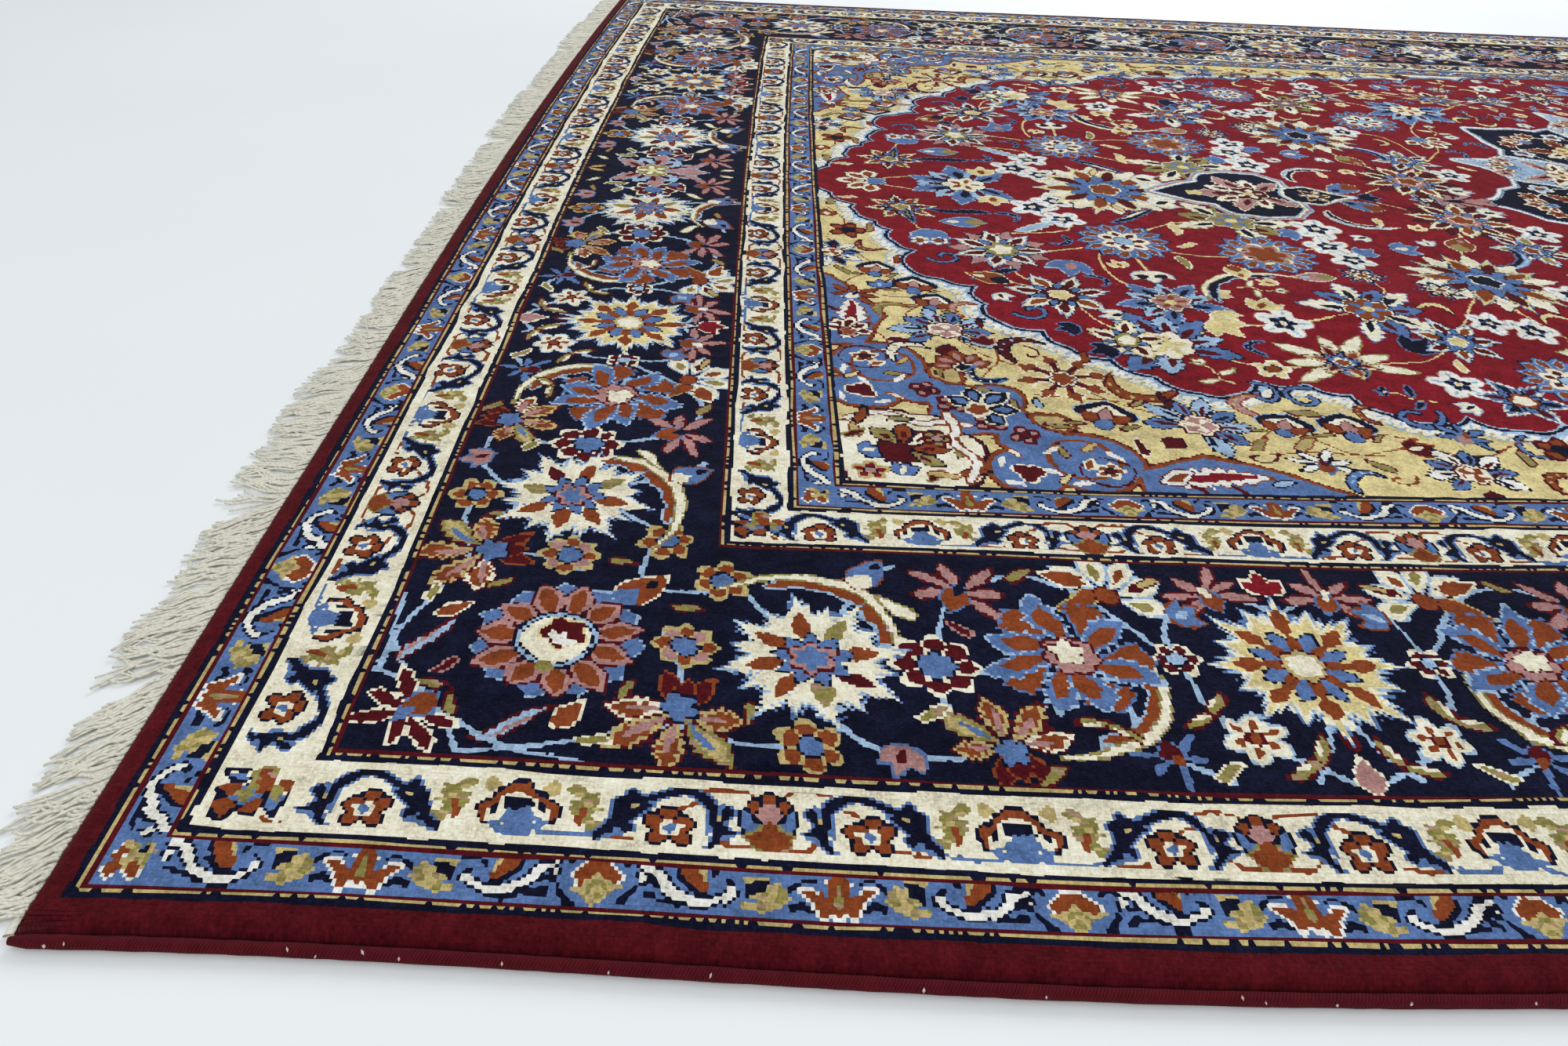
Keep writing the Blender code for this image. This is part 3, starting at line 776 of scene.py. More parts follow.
def open_palmette(place, petals=IVORY, rim=BLUE, veins=NAVY, heart=BLUE, core=RUST, n=9):
    """A palmette with leaves curling out round a round middle."""
    for k in range(n):
        here = place.at(0, 0, -144 + 288 * k / (n - 1))
        bend = 0.10 if k < n / 2 else -0.10
        long, fill = (0.97, petals) if k % 2 == 0 else (0.80, rim if rim != NAVY else SKY)
        paint(here, 1.3, petal(0.12, long, 0.42, 0.58, bend, 6, 0.4), (1.0, NAVY if k % 2 else rim),
              (0, fill))
        paint(here, 1.2, petal(0.34, 0.46 * long, 0.13, 0.5, bend), (0.1, veins if k % 2 == 0 else MAROON))
    paint(place, 0.6, lobes(7, 0.42, 0.25), (1.0, veins), (0.1, IVORY), (-0.8, core))
    spokes(place, 5, petal(0.08, 0.24, 0.12, 0.5), 0.4, (0.2, heart), turn=36)
    paint(place, 0.3, disc(0.10), (0.2, GOLD))


def whole(outline):
    """An outline from its upper half, which starts and ends on the x axis."""
    half = np.array(outline)
    return np.vstack((half, half[-2:0:-1] * (1, -1)))


PENDANT = (
    (-0.30, 0.0), (-0.22, 0.06), (-0.13, 0.10), (-0.10, 0.17), (0.0, 0.20), (0.08, 0.19), (0.13, 0.12),
    (0.12, 0.05), (0.14, 0.0))
PENDANT_TIP = ((0.11, 0.0), (0.13, 0.06), (0.20, 0.075), (0.26, 0.03), (0.33, 0.0))


def pendant(place):
    """The navy shape on the middle line, with a flower in it."""
    paint(place, 0.35, region(whole(PENDANT)), (5.5, SKY), (4.0, ROSE), (2.6, IVORY), (1.0, SKY), (0, NAVY))
    paint(place, 0.4, region(whole(PENDANT_TIP)), (3, SKY), (1.6, IVORY), (0, NAVY))
    star(place.at(0.20, 0, 0, 0.06), RUST, GOLD, IVORY, RUST, GOLD, None, 6)
    open_palmette(place.at(0.0, 0, 180, 0.15), ROSE, IVORY, MAROON, IVORY, MAROON)
    paint(place.at(-0.17, 0), 0.05, spikes(5, 0.035, 0.5), (0, GOLD))


def tulip_between_two(p):
    tulip(p, BLUE, SKY)
    for aside in (0.3, -0.4):
        six(p.at(0.7, aside, 0, 0.45), IVORY, BLUE, RUST)


def plumed_star(p):
    star(p, IVORY, SKY, MAROON, OLIVE, IVORY, ROSE, 7)
    plume(p.at(-1.0, 0.5, 90, 0.5), NAVY, BLUE, None, 0.3)


def spotted_tulip(p):
    tulip(p, IVORY, SKY)
    for aside in (0.3, -0.3):
        paint(p.at(0.2, aside), 0.4, disc(0.24), (0, NAVY))


def rose_dahlia(p):
    red_dahlia(p)
    paint(p, 0.7, lobes(6, 0.5, 0.35), (1, OLIVE), (0, ROSE), (-2, RUST))


def lily_and_star(p):
    lily(p, IVORY, OLIVE, MAROON, BLUE, 7)
    star(p.at(0, 0, 0, 0.55), ROSE, GOLD, RUST, BLUE, RUST, None, 6)


def rose_lily_and_star(p):
    lily(p, ROSE, MAROON, NAVY, ROSE, 7)
    star(p.at(-0.5, 0, 0, 0.4), ROSE, SKY, MAROON, IVORY, NAVY, None, 6)


# thin stems of the field, then its motifs, on the quarter
FIELD_STEMS = (
    ((1.16, 2.745), (1.30, 2.68), (1.55, 2.62), (1.70, 2.52), (1.74, 2.38), (1.60, 2.34), (1.50, 2.33)),
    ((1.26, 2.51), (1.28, 2.38), (1.32, 2.31)),
    ((1.61, 1.91), (1.52, 2.06), (1.51, 2.21), (1.66, 2.21), (1.88, 2.30)),
    ((1.81, 1.64), (1.68, 1.74), (1.61, 1.91), (1.45, 2.01)),
    ((1.88, 2.30), (1.78, 2.18), (1.80, 2.0), (1.89, 1.87)), ((1.89, 2.06), (1.88, 2.18), (1.88, 2.30)),
    ((1.88, 2.30), (2.05, 2.45), (2.26, 2.49), (2.40, 2.55), (2.50, 2.44)),
    ((1.88, 2.30), (2.06, 2.21), (2.27, 2.23), (2.48, 2.31)), ((2.14, 2.08), (2.20, 2.15), (2.27, 2.23)),
    ((1.81, 1.64), (1.95, 1.72), (2.14, 1.76), (2.28, 1.80), (2.39, 1.84)),
    ((2.21, 1.57), (2.02, 1.54), (1.81, 1.64)),
    ((2.21, 1.57), (2.40, 1.58), (2.54, 1.69), (2.66, 1.85), (2.82, 2.08)),
    ((2.39, 1.84), (2.48, 1.95), (2.48, 2.08)), ((2.77, 2.745), (2.90, 2.745), (3.07, 2.745)),
    ((2.77, 2.745), (2.85, 2.66), (3.01, 2.58), (3.10, 2.45), (3.19, 2.32)),
    ((2.82, 2.08), (2.86, 2.25), (2.90, 2.35), (3.01, 2.58)),
    ((2.82, 2.08), (3.00, 2.0), (3.15, 2.05), (3.19, 2.32)),
    ((2.82, 2.08), (2.80, 1.85), (2.93, 1.62), (3.10, 1.50)), ((3.10, 1.50), (3.25, 1.62), (3.40, 1.78)),
    ((3.10, 1.50), (3.30, 1.38), (3.50, 1.42), (3.70, 1.52)),
    ((3.70, 1.52), (3.90, 1.40), (4.10, 1.30), (4.42, 1.25)),
    ((3.19, 2.32), (3.30, 2.15), (3.30, 1.95), (3.40, 1.78)), ((3.40, 1.78), (3.55, 1.66), (3.70, 1.52)),
    ((4.10, 1.30), (4.18, 1.45), (4.30, 1.55)))
for points in FIELD_STEMS:
    vine(NEAR, points, GOLD, 0.6)

FIELD_SIZE = 1.10        # the flowers between the stems, as against their listed sizes
FIELD_MOTIFS = (  # x, y, turn, size, motif
    (1.16, MID, 180, 0.09, fan, "irbms"), (1.48, MID, 180, 0.155, open_palmette, "bskri", 11),
    (1.26, 2.51, 100, 0.10, star, "igrro"), (1.27, 2.44, 270, 0.05, plume, "kbo", 0.1),
    (1.32, 2.31, 270, 0.07, tulip_between_two), (1.43, 2.41, 180, 0.07, bud, "bsoi"),
    (1.45, 2.53, 150, 0.08, plume, "kb-", 0.4), (1.55, 2.62, 270, 0.06, tulip, "gir"),
    (1.67, 2.56, 0, 0.072, five_white), (1.74, 2.62, 30, 0.062, five_white),
    (1.74, 2.46, 50, 0.062, five_white), (1.66, 2.37, 10, 0.08, plume, "si-", 0.3),
    (1.93, MID, 0, 0.21, star, "girbri", 10), (1.51, 2.21, 100, 0.13, plumed_star),
    (1.88, 2.30, 0, 0.125, red_dahlia), (1.69, 2.11, 250, 0.08, tulip, "bsp"),
    (1.89, 2.06, 270, 0.07, spotted_tulip), (1.45, 2.01, 150, 0.065, bud, "rgki"),
    (1.61, 1.91, 60, 0.125, star, "isrmg-", 7), (1.89, 1.87, 120, 0.12, open_palmette, "bskrp", 9),
    (2.02, 1.93, 20, 0.05, tulip, "gi"), (2.0, 1.80, 300, 0.05, tulip, "gi"),
    (1.73, 1.79, 200, 0.05, tulip, "isk"), (1.94, 2.57, 80, 0.04, small_leaf, "gr"),
    (2.26, 2.49, 60, 0.16, open_palmette, "iokbo", 9), (2.08, 2.63, 30, 0.07, tulip, "isk"),
    (1.95, 2.53, 200, 0.08, plume, "kbi", 0.3), (2.27, 2.23, 0, 0.13, rose_dahlia),
    (2.50, 2.44, 0, 0.072, five_white), (2.48, 2.31, 20, 0.066, five_white),
    (2.51, 2.20, 50, 0.062, five_white), (2.57, 2.26, 40, 0.05, tulip, "bs"),
    (2.41, 2.40, 200, 0.05, tulip, "bs"), (2.13, 2.03, 200, 0.16, saz, "iks", -1),
    (2.14, 2.09, 270, 0.06, bud, "girr"), (2.34, 2.06, 180, 0.06, bud, "pios"),
    (2.48, 2.08, 0, 0.065, navy_star), (2.00, 2.17, 250, 0.05, small_leaf, "oi"),
    (2.05, 2.43, 240, 0.06, small_leaf, "gi"), (2.39, 1.84, 30, 0.145, open_palmette, "ibkbr", 9),
    (2.14, 1.76, 0, 0.065, five_white), (2.12, 1.85, 60, 0.06, tulip, "gir"),
    (1.81, 1.64, 120, 0.15, open_palmette, "bkmgi", 10), (1.72, 1.66, 150, 0.09, star, "igmoi-", 5),
    (1.98, 1.75, 300, 0.07, tulip, "gi"), (2.21, 1.57, 100, 0.14, lily_and_star),
    (1.60, 1.72, 200, 0.045, tulip, "kb"), (1.66, 1.61, 200, 0.05, tulip, "kb"),
    (2.43, 1.66, 40, 0.06, tulip, "kb"), (2.03, 1.53, 0, 0.04, six, "gir", 5),
    (2.44, 1.47, 90, 0.06, five_white), (2.55, 1.40, 45, 0.09, star, "bikri-", 6),
    (2.55, 1.69, 0, 0.10, star, "isrbg-", 7), (2.40, MID, 0, 1.05, pendant),
    (2.79, MID, 0, 0.05, tulip, "kb"), (3.07, MID, 0, 0.15, rose_lily_and_star),
    (3.01, 2.56, 300, 0.15, star, "igrprm"), (2.74, 2.66, 150, 0.075, bud, "bgrk"),
    (2.66, 2.50, 150, 0.10, saz, "ski", 1), (2.90, 2.35, 60, 0.07, bud, "riop"),
    (2.70, 2.30, 20, 0.06, tulip, "bsi"), (3.10, 2.33, 20, 0.115, star, "isobr-", 7),
    (2.97, 2.22, 30, 0.11, saz, "skb", -1), (2.82, 2.06, 60, 0.19, star, "gbrbki", 10),
    (2.65, 1.98, 0, 0.06, navy_star), (3.20, 2.47, 0, 0.06, five_white),
    (3.13, 2.64, 10, 0.055, tulip, "isk"), (2.93, 1.62, 30, 0.13, open_palmette, "iokbr", 9),
    (2.72, 1.50, 0, 0.11, red_dahlia), (3.16, 1.84, 0, 0.12, red_dahlia),
    (3.10, 1.48, 90, 0.11, star, "isrmg-", 7), (3.02, 1.99, 0, 0.06, five_white),
    (3.30, 2.08, 60, 0.08, fan, "irbks"), (2.78, 1.76, 0, 0.06, five_white),
    (2.68, 1.79, 60, 0.05, five_white), (3.40, 1.68, 120, 0.15, open_palmette, "bskri", 10),
    (3.33, 1.42, 30, 0.075, fan, "grkis"), (3.62, 1.45, 0, 0.12, star, "girbr"),
    (3.12, 1.31, 0, 0.055, five_white), (3.46, 1.26, 60, 0.06, tulip, "bsi"),
    (3.72, 1.27, 0, 0.06, navy_star), (3.86, 1.42, 60, 0.09, open_palmette, "ibkbr", 8),
    (3.95, 1.22, 0, 0.055, five_white), (4.12, 1.34, 100, 0.11, star, "isrmg-", 7),
    (4.23, 1.17, 0, 0.06, navy_star), (FAR, 1.22, 90, 0.15, open_palmette, "bskri", 11),
    (FAR, 1.44, 90, 0.07, fan, "irbms"))

# ---- the medallion: navy and blue lobes in turn round rings
middle = NEAR.at(FAR, MID)
NAVY_LOBE = (
    (0.50, 0.0), (0.55, 0.12), (0.72, 0.17), (0.88, 0.185), (1.01, 0.245), (1.04, 0.17), (1.11, 0.13),
    (1.16, 0.06), (1.23, 0.0))
SKY_LOBE = (
    (0.50, 0.0), (0.62, 0.16), (0.78, 0.22), (0.93, 0.23), (1.02, 0.15), (1.08, 0.05), (1.20, 0.0))
MEDALLION_LOBES = (  # turn, outline, ground, petals, heart
    (22.5, SKY_LOBE, SKY, ROSE, IVORY), (0, NAVY_LOBE, NAVY, RUST, GOLD))
for turn, outline, ground, petals, heart in MEDALLION_LOBES:
    for k in range(8):
        here = middle.at(0, 0, turn + 45 * k)
        paint(here, 1.4, region(whole(outline)), (5.0, BLUE), (4.2, WHITE), (1.6, BLUE),
              (0.8, WHITE if turn else SKY), (0, ground))
        for way in (1, -1):
            vine(here, ((0.62, 0.05 * way), (0.76, 0.16 * way), (0.92, 0.17 * way), (1.08, 0.04 * way)),
                 WHITE if turn == 0 else MAROON, 0.5)
            six(here.at(0.72, 0.115 * way, 0, 0.045), IVORY, BLUE, RUST, 5)
            six(here.at(0.97, 0.165 * way, 0, 0.042), SKY if turn == 0 else IVORY, WHITE, RUST, 5)
            tulip(here.at(1.05, 0.080 * way, 60 * way, 0.045), petals, IVORY, MAROON)
            small_leaf(here.at(0.66, 0.10 * way, 80 * way, 0.038), GOLD, RUST)
        open_palmette(here.at(0.86, 0, 180, 0.155), petals, IVORY, MAROON, RUST, heart, 9)
        fan(here.at(1.05, 0, 0, 0.065), IVORY, RUST, BLUE, MAROON, SKY)
paint(middle, 0.7, lobes(16, 0.60, 0.07), (3.4, NAVY), (2, IVORY), (0.6, MAROON), (-0.6, GOLD))
for k in range(8):
    dots_rosette(middle.at(0, 0, 45 * k).at(0.50, 0, 0, 0.06), RUST, NAVY, IVORY, 5)
    lily(middle.at(0, 0, 22.5 + 45 * k).at(0.49, 0, 0, 0.075), BLUE, NAVY, RUST, IVORY)
paint(middle, 0.6, lobes(8, 0.42, 0.10), (3, NAVY), (1.6, SKY), (0, CRIMSON))
for k in range(8):
    fan(middle.at(0, 0, 45 * k).at(0.31, 0, 0, 0.085), IVORY, BLUE, RUST, NAVY, SKY)
star(middle.at(0, 0, 0, 0.24), IVORY, SKY, RUST, BLUE, MAROON, GOLD, 12)

for x, y, turn, size, *what in FIELD_MOTIFS:
    draw(NEAR.at(x, y, turn, size * (FIELD_SIZE if size < 0.5 else 1.0)), *what)

# ---- border
lay_bands(0, 6)


def run(side, first, step, count, motifs, span=1.0, stop=9.0):
    """Sets a half repeat along a side, mirrored every other time."""
    for k in range(count):
        way = 1 - 2 * (k % 2)
        start = first + (k + k % 2) * step * span
        for u, t, turn, size, *what in motifs:
            if k < count - 1 or u < stop:
                draw(side.at(start + way * u * step, t, turn if way > 0 else 180 - turn, size, way), *what)


def run_vines(side, first, step, count, routes, wool, span=1.0, stop=9.0, thick=0.85):
    for k in range(count):
        way = 1 - 2 * (k % 2)
        start = first + (k + k % 2) * step * span
        for points in routes:
            if k < count - 1 or points[-1][0] < stop:
                vine(side, [(start + way * u * step, t) for u, t in points], wool, thick)


# small motifs of the guards, drawn knot by knot: a letter is a wool, a dot leaves the ground
NO_WOOL = 255


def drawn(drawing, mirrored=False):
    """A motif from its drawing. A mirrored one gives its right half, from the middle column on."""
    rows = drawing.split()
    if mirrored:
        rows = [row[:0:-1] + row for row in rows]
    wools_of = np.array([[LETTERS.get(letter, NO_WOOL) for letter in row] for row in rows])
    high, wide = wools_of.shape

    def motif(place):
        part, x, y = seen_from(place, (wide + high) / 2 * KNOT * place.size, 0.4, KNOT)
        column = np.floor(x + wide / 2).astype(int)
        row = np.floor(high / 2 - y).astype(int)
        on = (column >= 0) & (column < wide) & (row >= 0) & (row < high)
        found = wools_of[np.clip(row, 0, high - 1), np.clip(column, 0, wide - 1)]
        on &= found != NO_WOOL
        chart[part][on] = found[on]
    return motif


guard_tulip = drawn("""
    rr.......... rrr...kkk... orrw.k...kk. orr...wwwwkk orr..wrrrw.k orr.rrrrw... oorrrrrw....
    oorrrrw.kk.. orrrrrwkkkkk rrrrrwkk..kk rwwrrw...... ww.ww.......""", True)
guard_bud = drawn("""
    .....tttttt ..tt.kkkkt. ..otttkkkk. .ootttkkkk. .oottootkk. tooottottk. .toottto... ..ttttootto
    ....ttoottt ......tt...""")
hook = drawn("""
    kkkkk....ttrrr......kww. .....kk.ttrrrrk...kkwwwk ......k.trrrrrk..kwwwwk. ..kk....trrrrkk.kwwwkkwk
    .kk....rrrrrkk..kwwk.wwk kww....rrrrkk..kwwwk.kw. kwwk....rrkk..kwwwk..k.. .kwwkk..kkk.kwwwwk......
    ..kwwwkkkkkwwwwwk..kkk.. ...kkwwwwwwwwwkkkkkk.... .....kkwwwwwkkk......... .......kkkkk............""")
round_flower = drawn("""
    www....kkkkkkk rrrw..kk....kk rrrrw......... rrrrrw....k... trrrrrw....kk. ttrrrrw...kkk.
    oottrw....k..k tootttt..k.... ttott...kk.... otto...kk..kkk oot...kk...... tt...kkk......""", True)
guard_corner = drawn("""
    ...tt...... ..wttoo.ot. ..rrtto.kt. .wrrrotkkto .rrrwottto. ..rrtttoto. .rrrttrrto. wrrrrtrrrt.
    wrrr.wrrrw. .wrw..wrrw. ..w....ww..""")
trefoil = drawn("""
    kkk........ rrrk....... rrrrkk..... iirrrk..... iiiirrk.... kkkkirk.... kkkkirrkk.. kkkkikrrrk.
    bkbkikkrrrk bbbiikkirrk bbbbiikirrk bbbbiiiirkk bbbbbbiirk. bbbbibbbkk. bbbbbbb.... bbbbbb.....
    bbbb.......""", True)
streaky = drawn("""
    .ooo...... ooooo..... .ottoo.oo. ..tttooo.. ....ooooo. .oooottoo. ..oootto.. .ooorrotto ..oorroo..
    ..oorro... ...rrooo.. ...rrottoo ....r.ooo. ......oo..""")
pale_patch = drawn("..tt. .tttt ttttt .tttt ..tt.")
arch_scroll = drawn("""
    ................bbkkkkkkb.......... .......bb.....bbkkkkkkkkkkb........
    ......bkkb..bbkkkkkb.bbkkkkb....... ......bkkkbbkkkkb......bkkkkb......
    ....bkkkkkkkkkb.........bkkkb.b.... ...bkkkkkkkkbb...........bkkkbbkb..
    ...bkkkkttkkkb............bkkbkkkb. ...bkkkktkkkb.............bkkbkkkb.
    ...bkkkkkkkb..............bkktkkb.. ...bkkkkkkb...............bkktkb...
    ...bkkkkkb................bkkkkb... ..bkkkkkb.................bbkkkkb..
    ..bkkkkkkb................bbkkkkkkb .bkkkbkkkb................b.kkkbbb.
    bkkkkbbkb..................bkkbb... kkkbbbbb...................bkkb....
    kkbb.......................kkb..... kb.......................bbkb......""")
rosette = drawn("""
    ....kkkk..... ...krrrrk.... .kkkrrrrkkk.. krrrkrrkrrrk. krrrriirrrrrk krrriibbiirrk .krribbbirrk.
    ..kriibiirk.. .krrriiirrrk. .krrrrkrrrrk. .krrrk.krrrk. ..kkk...kkk..""")
small_palmette = drawn("""
    kk...... rrk..... rrkkk... rrkrrk.. ppkrrrk. ppprrkk. pppkrkbk ppppkbbk pppkkbbk rpkkbbbk rrobbbbk
    rroobbk. rrrrook. rrrrrro. rrrrro.. rrrrr... rrrro... rroo....""", True)
ivory_corner = drawn("""
    .........oooo....... kkkkkkk.orrroo...... kk..kk.oorrppo...... .kbbbb.oorrrpp...... ..kkbbbkoorrrr.rrr..
    ...kkkk.orrrrr.rrrr. ..rrrr.koorrrroorro. krrrrrbbooorrrooorr. kkrrrrooobrrkkooo.k. .kkrrooooobbkkoobbk.
    .kkkbbooobbrrkboobk. .krrrbboobrrrkbbbkk. .rrrrrkbbrrrrkbbbk.. .rrrrrrkkrrrr.kbkk.. .krrrrkkrrrrk..kkk..
    .kkrrrk.kkkkk.r.kk.. .kkkrkk.......rr.... ...kkk.........rrr.r""")


BLUE_GUARD = (  # share of the half repeat, distance from the middle of the band, turn, size, motif
    (0.0, 0.0, 0, 1.0, guard_tulip), (0.295, 0.0, 0, 1.0, guard_bud), (1.0, 0.0, 0, 1.0, round_flower),
    (0.62, 0.0, 0, 1.0, hook))
IVORY_GUARD = (
    (0.0, 0.0, 0, 1.0, trefoil), (0.125, 0.034, 0, 1.0, pale_patch), (0.258, 0.005, 0, 1.0, streaky),
    (0.593, 0.0, 0, 1.0, arch_scroll), (0.600, -0.016, 0, 1.0, rosette),
    (1.0, -0.002, 0, 1.0, small_palmette))
IVORY_TENDRILS = (
    (RUST, ((0.32, -0.042), (0.40, -0.044), (0.48, -0.041))),
    (RUST, ((0.82, -0.036), (0.87, -0.044), (0.95, -0.044))),
    (RUST, ((0.74, 0.042), (0.83, 0.047), (0.90, 0.045), (0.93, 0.036))),
    (RUST, ((0.63, 0.008), (0.66, 0.016), (0.70, 0.022))),
    (BLUE, ((0.09, -0.042), (0.19, -0.045), (0.31, -0.042))))


def shifted(motifs, middle, scale=1.0):
    return [(u, middle + t * scale, turn, size * scale, *what) for u, t, turn, size, *what in motifs]


# middle of the band, first motif along a side, half repeats on the long and short side, scale, motifs
GUARDS = (
    (0.0925, 0.373, 14, 8, 1.0, BLUE_GUARD), (0.957, 1.24, 11, 5, 1.0, BLUE_GUARD),
    (0.2015, 0.547, 12, 7, 1.0, IVORY_GUARD), (0.850, 1.137, 11, 5, 0.93, IVORY_GUARD))
for middle_of, first, long_count, short_count, scale, motifs in GUARDS:
    for side, end, count in ((NEAR, FAR, long_count), (LEFT, MID, short_count)):
        step = (end - first) / count
        placed = shifted(motifs, middle_of, scale)
        if motifs is IVORY_GUARD:
            for tendril, points in IVORY_TENDRILS:
                run_vines(side, first, step, count, [[(u, middle_of + t * scale) for u, t in points]],
                          tendril, thick=0.6)
        run(side, first, step, count, placed)
        # the piece between the first motif and the corner
        for u, t, turn, size, *what in placed:
            if 0 < u < 0.9 and first - u * step > middle_of + 0.03:
                draw(side.at(first - u * step, t, 180 - turn, size, -1), *what)
    corner = guard_corner if motifs is BLUE_GUARD else ivory_corner
    corner(NEAR.at(middle_of, middle_of, 0, scale))


def ivory_tulips(p):
    """Parted white petals with rust cores, a rust leaf below."""
    paint(p.at(-0.2, 0.1, 140), 1.4, petal(0, 1.15, 0.42, 0.4, 0.2), (0.8, TAN), (0, RUST))
    for turn, core in ((-80, OLIVE), (-40, MAROON), (0, RUST), (40, OLIVE), (80, MAROON)):
        paint(p.at(-0.30, 0, turn), 1.5, petal(0.22, 0.98, 0.50, 0.62), (0.9, SKY), (0.1, IVORY))
        paint(p.at(-0.30, 0, turn), 1.4, petal(0.45, 0.52, 0.22, 0.55), (0.2, core))
    paint(p.at(-0.30, 0), 0.6, disc(0.24), (0.4, MAROON), (-0.2, RUST))


def drop(p, rim=IVORY, fill=ROSE, width=1.2):
    paint(p, 1.2, petal(-1, 2, width, 0.6), (1, rim), (0, fill))


MAIN_VINES = (
    ((-0.02, 0.50), (0.12, 0.37), (0.38, 0.325), (0.62, 0.335), (0.86, 0.41), (1.05, 0.54)),
    ((0.50, 0.514), (0.56, 0.61), (0.68, 0.69), (0.95, 0.73), (1.20, 0.68), (1.475, 0.543)),
    ((1.475, 0.543), (1.52, 0.45), (1.66, 0.37), (1.84, 0.325), (2.0, 0.29)),
    ((1.475, 0.543), (1.50, 0.63), (1.66, 0.71), (1.84, 0.69), (2.0, 0.66)),
    ((0.50, 0.514), (0.52, 0.43), (0.62, 0.39), (0.70, 0.38)),
    ((0.0, 0.50), (0.16, 0.62), (0.24, 0.70), (0.40, 0.745)),
    ((1.05, 0.54), (1.20, 0.44), (1.31, 0.35), (1.50, 0.30)), ((1.96, 0.42), (1.90, 0.36), (1.80, 0.30)))
MAIN_MOTIFS = (  # share of the step between flowers, distance from the edge, turn, size, motif
    (0.0, 0.336, 90, 0.048, six, "rtb"), (0.34, 0.325, 250, 0.048, tulip, "pbm"),
    (0.27, 0.72, 60, 0.055, bud, "brik"), (0.42, 0.64, 120, 0.042, small_leaf, "io"),
    (0.504, 0.514, 0, 0.070, aster, "mmib"), (0.66, 0.685, 75, 0.085, lily, "pmkr"),
    (0.72, 0.375, 100, 0.080, half_palmette), (0.86, 0.31, 200, 0.035, small_leaf, "om"),
    (0.47, 0.40, 10, 0.032, small_leaf, "oi"), (0.93, 0.725, 10, 0.035, small_leaf, "om"),
    (1.315, 0.343, 290, 0.062, lily, "bkrm", 5), (1.21, 0.415, 50, 0.135, saz, "irs", -1),
    (1.325, 0.715, 60, 0.085, ivory_tulips), (1.12, 0.73, 160, 0.04, heart_leaf),
    (1.475, 0.543, 0, 0.036, six, "mis"), (1.656, 0.382, 20, 0.047, white_flower),
    (1.74, 0.70, 110, 0.075, lily, "pmir"), (1.58, 0.65, 30, 0.045, tulip, "brs"),
    (1.50, 0.31, 10, 0.033, small_leaf, "oi"), (1.50, 0.735, 180, 0.032, small_leaf, "tm"),
    (2.0, 0.722, 90, 0.050, tulip, "ci"), (1.534, 0.425, 135, 0.042, two_leaves),
    (1.84, 0.335, 135, 0.044, two_leaves), (1.12, 0.405, 250, 0.036, two_leaves),
    (2.0, 0.42, 270, 0.030, drop), (2.0, 0.385, 270, 0.028, drop, "km", 1.1),
    (2.0, 0.315, 270, 0.034, drop), (0.03, 0.512, 90, 0.136, flame),
    (1.056, 0.55, 90, 0.125, big_palmette), (2.0, 0.536, 90, 0.148, gold_rosette))


def middle_palmette(p):
    """The long flower at the middle of a side."""
    open_palmette(p.at(-0.1, 0, 0, 1.0), ROSE, SKY, MAROON, IVORY, OLIVE, 11)
    paint(p.at(0.2, 0), 1.2, petal(0, 0.9, 0.5, 0.5, 0, 5, 0.4), (1, SKY), (0, ROSE))
    for way in (1, -1):
        bud(p.at(0.5, 1.0 * way, 60 * way, 0.35), MAROON, IVORY, BLUE, ROSE)
        small_leaf(p.at(-0.7, 1.0 * way, 150 * way, 0.3), OLIVE, IVORY)


CORNER = 0.537
CORNER_VINES = (
    ((0.28, 0.62), (0.305, 0.50), (0.365, 0.40), (0.42, 0.33), (0.44, 0.29)),
    ((0.70, 0.55), (0.735, 0.46), (0.735, 0.36)),
    ((0.44, 0.29), (0.56, 0.31), (0.735, 0.36), (0.84, 0.33), (0.94, 0.36)),
    ((0.655, 0.655), (0.76, 0.66), (0.80, 0.69), (0.86, 0.62), (0.94, 0.54)))
CORNER_MOTIFS = (  # x, y, turn, size, motif
    (0.735, 0.360, 262, 0.090, half_palmette), (0.739, 0.529, 0, 0.052, aster, "prtb", 8),
    (0.789, 0.690, 20, 0.05, six, "rtb"), (0.515, 0.325, 10, 0.055, plume, "smp", 0.4),
    (0.585, 0.37, 60, 0.032, heart_leaf), (0.42, 0.37, 70, 0.03, small_leaf, "om"),
    (0.62, 0.32, -20, 0.03, small_leaf, "oi"), (0.66, 0.42, 40, 0.03, small_leaf, "om"),
    (0.84, 0.40, 240, 0.03, small_leaf, "om"))
for side, end, gaps in ((NEAR, FAR, 10), (LEFT, MID, 6)):
    step = (end - CORNER) / gaps
    first = CORNER + step
    halves = gaps // 2
    run_vines(side, first, step, halves, MAIN_VINES, SKY, 2.0, 0.9)
    for points in CORNER_VINES:
        vine(side, points, SKY, 0.85)
    set_out(CORNER_MOTIFS, side)
    saz(side.at(first + 0.02, 0.665, -18, 0.155, 1), IVORY, RUST, SKY, 1)
    for k in range(5, gaps, 4):
        saz(side.at(CORNER + k * step, 0.68, 18, 0.12, -1), IVORY, RUST, SKY, 1)
    run(side, first, step, halves, MAIN_MOTIFS, 2.0, 0.7)
    middle_palmette(side.at(end, 0.51, 90, 0.145))
lily(NEAR.at(0.36, 0.36, 225, 0.085), MAROON, IVORY, BLUE, RUST)
bud(NEAR.at(0.655, 0.655, 45, 0.062), RUST, IVORY, BLUE, NAVY)
lotus(NEAR.at(0.545, 0.527, 45, 0.135))

